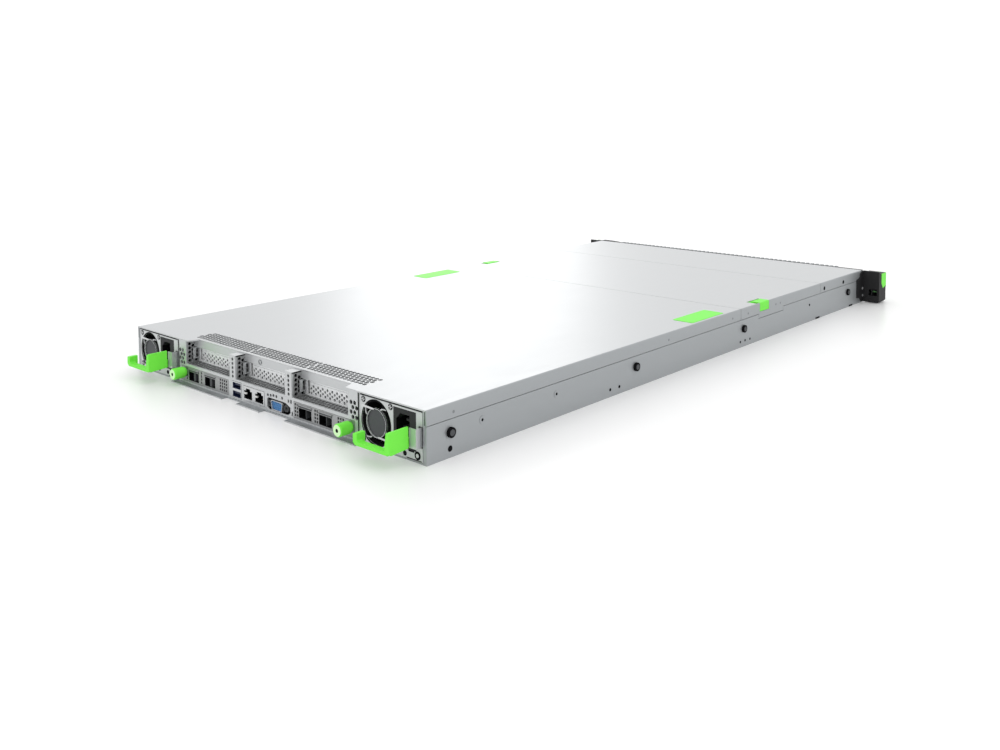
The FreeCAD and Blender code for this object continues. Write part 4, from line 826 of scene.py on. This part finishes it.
def module_case(number):
    """The case with cage mouths, air holes and a bore for the thumbscrew, and a lip over each cage; a
    dark plate of painted shade lies behind the air holes, and a grey band of painted shade lies over
    each cage.
    """
    name = f"network_module_{number}"
    x, y, z = spans(name)
    knob = spans(f"thumbscrew_{number}")
    bore = (sum(knob[0]) / 2.0, sum(knob[2]) / 2.0)
    mouths = [rect(about(centre, half), CAGE_Z) for centre, half in CAGES[number]]
    holes = []
    for at in VENTS[number]:
        holes += [rect(about(at, VENT_SIZE / 2.0), about(row, VENT_SIZE / 2.0)) for row in VENT_Z]
    bore_hole = polygon(bore, BORE_R, 16)
    through = [*mouths, bore_hole]
    face = pierced("Y", (-SHEET, 0.0), rect(x, z), [*mouths, *holes, bore_hole])
    case = pierced("Y", (y[0], SHADE_PLATE_Y), rect(x, z), through)
    shade_plate = pierced("Y", (SHADE_PLATE_Y, -SHEET), rect(x, z), through)
    lips = []
    recess = []
    for centre, half in CAGES[number]:
        lips.append(block(about(centre, half + 0.6), (0.0, CAGE_LIP_T), CAGE_LIP_Z))
        # A grey skin over each cage mouth: painted shade of the recess above it.
        recess.append(block(about(centre, half + 0.6), (0.0, SKIN), RECESS_Z))
    piece(f"module_case_{number}", [face, case] + lips, name, MODULE_STEEL, (name,))
    piece(f"module_shade_plate_{number}", [shade_plate], name, DARK)
    piece(f"module_recess_shade_{number}", recess, name, GREY_DISC)


def module_details(number):
    """Dark boxes of painted shade inside the cages, with a divider."""
    body = f"network_module_{number}"
    shade_boxes = []
    dividers = []
    for x, half in CAGES[number]:
        outer = rect(about(x, half - 0.02), widened(CAGE_Z, -0.02))
        inside_z = widened(CAGE_Z, -0.3)
        inner = rect(about(x, half - 0.3), inside_z)
        shade_boxes.append(pierced("Y", (CAGE_DEPTH, -SKIN), outer, [inner]))
        shade_boxes.append(block(about(x, half - 0.3), (CAGE_DEPTH, CAGE_BACK), inside_z))
        dividers.append(block(about(x, CAGE_DIVIDER[number]), (-20.0, -1.0), inside_z))
    piece(f"cage_shades_{number}", shade_boxes, body, DARK)
    piece(f"cage_dividers_{number}", dividers, body, GREY_DISC)


def thumbscrew(number):
    """A ribbed knob on a neck, with a pale hollow end; the hollow is a dark rod of painted shade."""
    name = f"thumbscrew_{number}"
    x, y, z = spans(name)
    centre = (sum(x) / 2.0, sum(z) / 2.0)
    tip = y[1]
    rim = tip - 0.9
    rib_turn = math.pi / 16.0
    edge = polygon(centre, KNOB_R, 16, rib_turn)
    grip = pierced("Y", (KNOB_NECK, rim), edge, [polygon(centre, KNOB_NECK_R, 16)])
    neck = rod("Y", (y[0], KNOB_NECK), centre, KNOB_NECK_R, 16)
    collar = rod("Y", (0.3, KNOB_NECK), centre, KNOB_COLLAR_R, 16)
    bevel = prism("Y", (rim, rim + KNOB_BEVEL), edge, polygon(centre, KNOB_FACE_R, 16, rib_turn))
    end = ring("Y", (rim, tip), centre, KNOB_FACE_R, 1.7, 32)
    hole = rod("Y", (tip - 3.0, tip - 0.15), centre, 1.75, 12)
    piece(f"thumbscrew_knob_{number}", [grip, neck, collar, bevel], name,
          MATERIALS["green_plastic"], (name,))
    piece(f"thumbscrew_end_{number}", [end], name, PALE_GREEN)
    piece(f"thumbscrew_hole_shade_{number}", [hole], name, DARK)


for module in (1, 2):
    module_case(module)
    module_details(module)
    thumbscrew(module)


# Power supplies: places along X are from the middle of the case
FAN_X = 17.1
FAN_Z = 21.0
HUB_R = 11.2
HUB_Y = (-3.2, -1.3)
FAN_R = 17.6
OPENING_R = (18.1, 19.2)
OPENING_SIDES = 48
GUARD_RING = (12.6, 11.9)
SCREW_AT = (-31.0, 6.0)
SCREW_RING = (3.4, 1.6)
DOT_AT = (-16.6, 4.9)
DOT_R = 2.1
UNDERLINE = ((-35.6, -18.6), (1.8, 2.5))
OBLONG = ((-27.2, -20.7), (7.4, 8.5))
INLET_X = -14.55
INLET_Z = (10.6, 35.3)
INLET_HALF = 7.95
INLET_FLOOR_Z = (10.9, 35.1)
INLET_FLOOR_HALF = 7.7
CROSS = (1.9, 0.45)
FIXING_R = 2.6
FIXINGS = ((-17.4, 16.8), (15.3, 16.8), (-17.4, -15.1), (15.3, -15.1))
SPOKE = ((2.5, 10.4), (17.6, 10.6), (17.6, 12.6), (2.5, 11.7))


def opening_edge(centre):
    """A thin dark band of painted shade round the fan opening, widening the round opening to the oval
    of the picture.
    """
    oval = []
    for i in range(OPENING_SIDES):
        t = math.tau * i / OPENING_SIDES
        oval.append((centre[0] + OPENING_R[0] * math.cos(t), centre[1] + OPENING_R[1] * math.sin(t)))
    return pierced("Y", (0.0, 0.06), oval, [polygon(centre, FAN_R, OPENING_SIDES)])


def psu_fan(number, middle):
    """Fan disc, guard wires, fixings, and the screw of the end face, with dark marks of painted shade
    in its holes, gaps and recesses.
    """
    body = f"psu_{number}"
    centre = (middle + FAN_X, FAN_Z)
    disc = prism("Y", HUB_Y, polygon(centre, HUB_R, 40))
    piece(f"fan_disc_{number}", [disc], body, GREY_DISC)
    wires = []
    for turn in (1.0, -1.0):
        wire = [(centre[0] + turn * a, centre[1] + turn * b) for a, b in SPOKE]
        wires.append(prism("Y", (-0.3, 0.25), wire))
    skin = (0.0, SKIN)
    screw = (middle + SCREW_AT[0], SCREW_AT[1])
    marks = [ring("Y", skin, screw, *SCREW_RING, 24), opening_edge(centre)]
    marks.append(ring("Y", (0.0, 0.05), centre, *GUARD_RING, 40))
    marks.append(rod("Y", skin, (middle + DOT_AT[0], DOT_AT[1]), DOT_R, 16))
    for across, upward in (UNDERLINE, OBLONG):
        marks.append(block((middle + across[0], middle + across[1]), skin, upward))
    for a, b in FIXINGS:
        at = (centre[0] + a, centre[1] + b)
        marks.append(rod("Y", skin, at, FIXING_R, 20))
        wires.append(block(about(at[0], CROSS[0]), (SKIN, 0.35), about(at[1], CROSS[1])))
        wires.append(block(about(at[0], CROSS[1]), (SKIN, 0.35), about(at[1], CROSS[0])))
    piece(f"guard_wires_{number}", wires, body, MATERIALS["port_metal"])
    piece(f"psu_shade_marks_{number}", marks, body, DARK)
    head = rod("Y", (0.0, 0.5), screw, SCREW_RING[1], 16)
    piece(f"psu_screw_{number}", [head], body, MATERIALS["bright_steel"])


def psu_inlet(number, middle):
    """A dark lining of painted shade in the inlet's recess, and the ridge on the latch."""
    recess_x = middle + INLET_X
    inner = rect(about(recess_x, INLET_FLOOR_HALF), INLET_FLOOR_Z)
    shade_sheet = pierced("Y", (-16.9, -0.6), rect(about(recess_x, INLET_HALF), INLET_Z), [inner])
    floor = block(about(recess_x, INLET_FLOOR_HALF), (-16.95, -16.6), INLET_FLOOR_Z)
    piece(f"inlet_shade_{number}", [shade_sheet, floor], f"psu_{number}", DARK)
    latch = f"psu_{number}_latch"
    x, _, z = spans(latch)
    ridge = block((x[0] - 0.05, x[0] + 0.7), (0.4, 1.2), widened(z, -1.5))
    piece(f"latch_ridge_{number}", [ridge], latch, MATERIALS["side_steel"])


for supply in (1, 2):
    case_middle = sum(spans(f"psu_{supply}_case")[0]) / 2.0
    psu_fan(supply, case_middle)
    psu_inlet(supply, case_middle)


# Side walls: rail studs, recessed screws, small holes, bottom notches and skirt marks
STUD_Y = (-25.5, -274.4, -481.4, -753.8)
STUD_Z = 20.1
STUD_R = 2.55
STUD_L = 2.4
WELL = (4.2, 2.6, 2.0)
DISHES = ((-61.1, 21.1), (-154.5, 20.9))
DISH = (3.2, 1.3, 0.3)
SIDE_HOLES = ((-232.9, 6.9, 1.5), (-247.2, 6.7, 1.5), (-473.9, 6.3, 1.4), (-484.3, 6.5, 1.4),
              (-495.3, 6.2, 1.4), (-24.9, 7.3, 2.4), (-643.2, 20.8, 1.6))
PATCH = ((-644.0, 6.6), (21.2, 1.8))
NOTCH_Y = (-665.9, -764.3)
NOTCH = (5.5, 2.2)
PRESSED = {"rear_cover": (-29.0, -331.0, -457.0), "middle_cover": (-491.0, -556.0, -567.0)}
PRESSED_Z = 35.5
SKIRT_HOLE_Y = (-684.5, -740.4)
SKIRT_HOLE_Z = 35.2
PAD_X = (188.7, 213.5)
PAD_Y = (-444.5, -381.5)
PAD_CORNER = 1.5


def side_details():
    studs = []
    wells = []
    dishes = []
    dots = []
    patches = []
    wall = spans("chassis_tray")[0][1]
    for side in (1, -1):
        skin = (side * wall, side * (wall + 0.12))
        for y in STUD_Y:
            # Dark rings round the studs: painted shade in their recessed wells.
            wells.append(ring("X", (side * wall, side * (wall + WELL[2])), (y, STUD_Z), *WELL[:2]))
            studs.append(rod("X", (side * wall, side * (wall + STUD_L)), (y, STUD_Z), STUD_R))
        for at in DISHES:
            dishes.append(ring("X", (side * wall, side * (wall + DISH[2])), at, *DISH[:2]))
            dots.append(rod("X", skin, at, DISH[1] - 0.05, 14))
        for y, z, radius in SIDE_HOLES:
            dots.append(rod("X", skin, (y, z), radius, 16))
        patch_x = (side * (wall - 1.0), side * (wall + 0.04))
        patches.append(block(patch_x, about(*PATCH[0]), about(*PATCH[1])))
        for y in NOTCH_Y:
            dots.append(block(skin, about(y, NOTCH[0]), (0.0, NOTCH[1])))
    piece("stud_heads", studs, "chassis", GREY_DISC, ("rail_studs",))
    piece("stud_well_shades", wells, "chassis", DARK)
    piece("side_dishes", dishes, "chassis", MATERIALS["side_steel"])
    piece("side_patches", patches, "chassis", MATERIALS["side_steel"])
    # The dark dots are painted shade: the dishes' centres, the small holes and the bottom notches.
    piece("side_hole_shades", dots, "chassis", DARK)


def skirt_marks():
    """Faint pressed ovals along the skirts, and two dark discs of painted shade for holes near the
    front.
    """
    for body, places in PRESSED.items():
        shapes = []
        for side in (1, -1):
            skin = (side * (HALF_W - 0.5), side * (HALF_W + 0.04))
            shapes += [rod("X", skin, (y, PRESSED_Z), 1.3, 14) for y in places]
        piece(f"skirt_marks_{body}", shapes, body, MARK_GREY)
    holes = []
    for side in (1, -1):
        skin = (side * (HALF_W - 0.5), side * (HALF_W + 0.04))
        holes += [rod("X", skin, (y, SKIRT_HOLE_Z), 2.5, 16) for y in SKIRT_HOLE_Y]
    piece("skirt_hole_shades", holes, "chassis", DARK)


def touch_pads():
    """Two green pads on the rear cover, with cut corners."""
    shapes = []
    x, y, cut = PAD_X, PAD_Y, PAD_CORNER
    outline = [(x[0], y[0] + cut), (x[0] + cut, y[0]), (x[1] - cut, y[0]), (x[1], y[0] + cut)]
    outline += [(x[1], y[1] - cut), (x[1] - cut, y[1]), (x[0] + cut, y[1]), (x[0], y[1] - cut)]
    for side in (1, -1):
        shapes.append(prism("Z", spans("touch_pads")[2], mirrored(side, outline)))
    piece("cover_pads", shapes, "rear_cover", MATERIALS["green_plastic"],
          ("touch_pads",))


# Front ears: a black body with a window, a bracket along the side and a green lever outside
EAR_BACK = -800.0
EAR_SKIN = 0.3
EAR_PLATE = 3.0
EAR_TOP = 39.6
EAR_WINDOW = ((226.8, 237.9), (9.9, 18.3))
EAR_OUTER = max(spans("ear_right")[0])
EAR_FRONT = spans("ear_right")[1][0]
EAR_Z = spans("ear_right")[2]
WING_T = 1.5
WING = ((-781.6, 7.6), (-781.6, 31.7), (-788.5, 33.2), (-791.5, 34.8), (-792.5, 38.0), (-794.5, 40.4),
        (EAR_BACK, EAR_Z[1]), (EAR_BACK, EAR_Z[0]), (-796.5, EAR_Z[0]), (-792.6, 4.5), (-789.5, 7.4))
FLANK = ((-807.5, EAR_TOP), (-807.5, 26.5), (-812.0, 19.8), (-819.0, 21.5), (EAR_FRONT, 23.5),
         (EAR_FRONT, EAR_TOP))
LEVER_W = 11.0
LEVER_Z = (20.0, EAR_TOP)
EAR_SHADE_Y = (-816.0, -815.0)
EAR_POST = ((229.9, 230.7), (-815.0, -801.0))
EAR_BAR = ((230.6, 236.8), (-806.0, -804.0), (14.2, 16.0))
EAR_SCREW_Y = -797.9
EAR_SCREW_Z = (18.9, 9.3)
BROW_Y = (-808.0, -799.5)
BROW = ((184.0, 41.8), (190.0, 42.7), (204.0, 43.3), (HALF_W, 43.3), (HALF_W, 41.8))


def both(side, span):
    return (side * span[0], side * span[1])


def ear_body(side, name):
    """The hollow ear in two steps of height, with the bracket that holds it to the side wall."""
    low, high = EAR_Z
    skin = EAR_OUTER - EAR_SKIN
    outline = [(HALF_W, low + 2.4), (HALF_W + 2.0, low), (HALF_W + 7.0, low + 0.8)]
    outline += [(EAR_OUTER - 2.5, low), (skin, low + 2.0)]
    window = mirrored(side, rect(*EAR_WINDOW))
    step = EAR_BACK - EAR_PLATE
    solid = []
    for span, top in (((step, EAR_BACK), high), ((EAR_FRONT + EAR_SKIN, step), EAR_TOP)):
        points = outline + [(skin, top), (HALF_W + 1.0, top), (HALF_W, top - 1.0)]
        solid.append(pierced("Y", span, mirrored(side, points), [window]))
    solid.append(prism("X", both(side, (HALF_W, HALF_W + WING_T)), WING))
    piece(f"ear_body_{name}", solid, "chassis", MATERIALS["black_plastic"],
          (f"ear_{name}",))


def ear_lever(side, name):
    """The green lever: a thin angle over the ear's outer front corner."""
    lever = [prism("X", both(side, (EAR_OUTER - EAR_SKIN, EAR_OUTER)), FLANK)]
    face_x = both(side, (EAR_OUTER - LEVER_W, EAR_OUTER))
    lever.append(block(face_x, (EAR_FRONT, EAR_FRONT + EAR_SKIN), LEVER_Z))
    swing = f"ear_lever_{name}"
    piece(f"ear_handle_{name}", lever, swing, MATERIALS["green_plastic"], (swing,))


def ear_inside(side, name):
    """What shows in the window, and the two screws of the bracket."""
    window_x, window_z = EAR_WINDOW
    back = block(both(side, window_x), EAR_SHADE_Y, window_z)
    post = block(both(side, EAR_POST[0]), EAR_POST[1], window_z)
    bar = block(both(side, EAR_BAR[0]), EAR_BAR[1], EAR_BAR[2])
    piece(f"ear_shade_{name}", [back], "chassis", DARK)
    piece(f"ear_post_{name}", [post], "chassis", INLET_GREY)
    piece(f"ear_bar_{name}", [bar], "chassis", MOSS)
    plate_x = both(side, (HALF_W + WING_T, HALF_W + WING_T + 0.5))
    screws = [rod("X", plate_x, (EAR_SCREW_Y, at), 1.6, 12) for at in EAR_SCREW_Z]
    piece(f"ear_screws_{name}", screws, "chassis", MATERIALS["bright_steel"])


def ears():
    for side, name in ((1, "right"), (-1, "left")):
        ear_body(side, name)
        ear_lever(side, name)
        ear_inside(side, name)
    brow = prism("Y", BROW_Y, BROW)
    piece("panel_brow", [brow], "chassis", MATERIALS["black_plastic"])


side_details()
skirt_marks()
touch_pads()
ears()


# Stage
FLOOR_SIZE = 80.0
FLOOR_COLOUR = (0.87, 0.87, 0.87)
FLOOR_GRAIN = 12.0
WORLD_STRENGTH = 1.16
ORIGIN = (0.0, 0.0, 0.0)
LIGHTS = (("overhead", (0.2, 0.0, 2.6), ORIGIN, (3.6, 3.6), 3.0),
          ("rear_key", (-0.6, 0.9, 0.9), (-0.1, 0.38, 0.0), (0.9, 0.9), 0.8),
          ("back_panel", (2.03, -1.92, 0.9), ORIGIN, (1.0, 1.5), 5.5))


def floor():
    bpy.ops.mesh.primitive_plane_add(size=FLOOR_SIZE, location=ORIGIN)
    plane = bpy.context.object
    plane.name = "floor"
    mat = principled("floor_white", FLOOR_COLOUR, 0.0, 0.35)
    add_grain(mat, FLOOR_GRAIN, EVEN, (0.3, 0.4), 0.0)
    paint(plane, mat)


def area_light(name, at, aim, size, power):
    light = bpy.data.lights.new(name, "AREA")
    light.shape = "RECTANGLE"
    light.size = size[0]
    light.size_y = size[1]
    light.energy = power
    lamp = bpy.data.objects.new(name, light)
    bpy.context.scene.collection.objects.link(lamp)
    lamp.location = at
    lamp.rotation_euler = (Vector(aim) - Vector(at)).to_track_quat("-Z", "Y").to_euler()


def world_light():
    world = bpy.data.worlds.new("studio")
    bpy.context.scene.world = world
    world.use_nodes = True
    background = world.node_tree.nodes["Background"]
    background.inputs["Color"].default_value = (1.0, 1.0, 1.0, 1.0)
    background.inputs["Strength"].default_value = WORLD_STRENGTH


# Camera, solved from the photograph, with the picture's own shift
CAMERA_AT = (-769.87, 515.08, 281.21)
CAMERA_YAW = 2.41546
CAMERA_PITCH = 0.06724
CAMERA_ROLL = -0.00559
CAMERA_LENS = 36.555
CAMERA_SHIFT = (-0.01888, -0.21258)
SENSOR_WIDTH = 36.0


def camera():
    data = bpy.data.cameras.new("camera")
    data.lens = CAMERA_LENS
    data.sensor_width = SENSOR_WIDTH
    data.shift_x = CAMERA_SHIFT[0]
    data.shift_y = CAMERA_SHIFT[1]
    data.clip_start = 0.01
    data.clip_end = 50.0
    cam = bpy.data.objects.new("camera", data)
    bpy.context.scene.collection.objects.link(cam)
    sin_y, cos_y = math.sin(CAMERA_YAW), math.cos(CAMERA_YAW)
    sin_p, cos_p = math.sin(CAMERA_PITCH), math.cos(CAMERA_PITCH)
    forward = Vector((sin_y * cos_p, cos_y * cos_p, -sin_p))
    flat_right = Vector((cos_y, -sin_y, 0.0))
    flat_up = flat_right.cross(forward)
    sin_r, cos_r = math.sin(CAMERA_ROLL), math.cos(CAMERA_ROLL)
    right = flat_right * cos_r + flat_up * sin_r
    up = flat_up * cos_r - flat_right * sin_r
    basis = Matrix((right, up, -forward)).transposed()
    cam.matrix_world = Matrix.Translation(place(*CAMERA_AT)) @ basis.to_4x4()
    bpy.context.scene.camera = cam


floor()
world_light()
for light_values in LIGHTS:
    area_light(*light_values)
camera()
bpy.context.scene.view_settings.view_transform = "Standard"
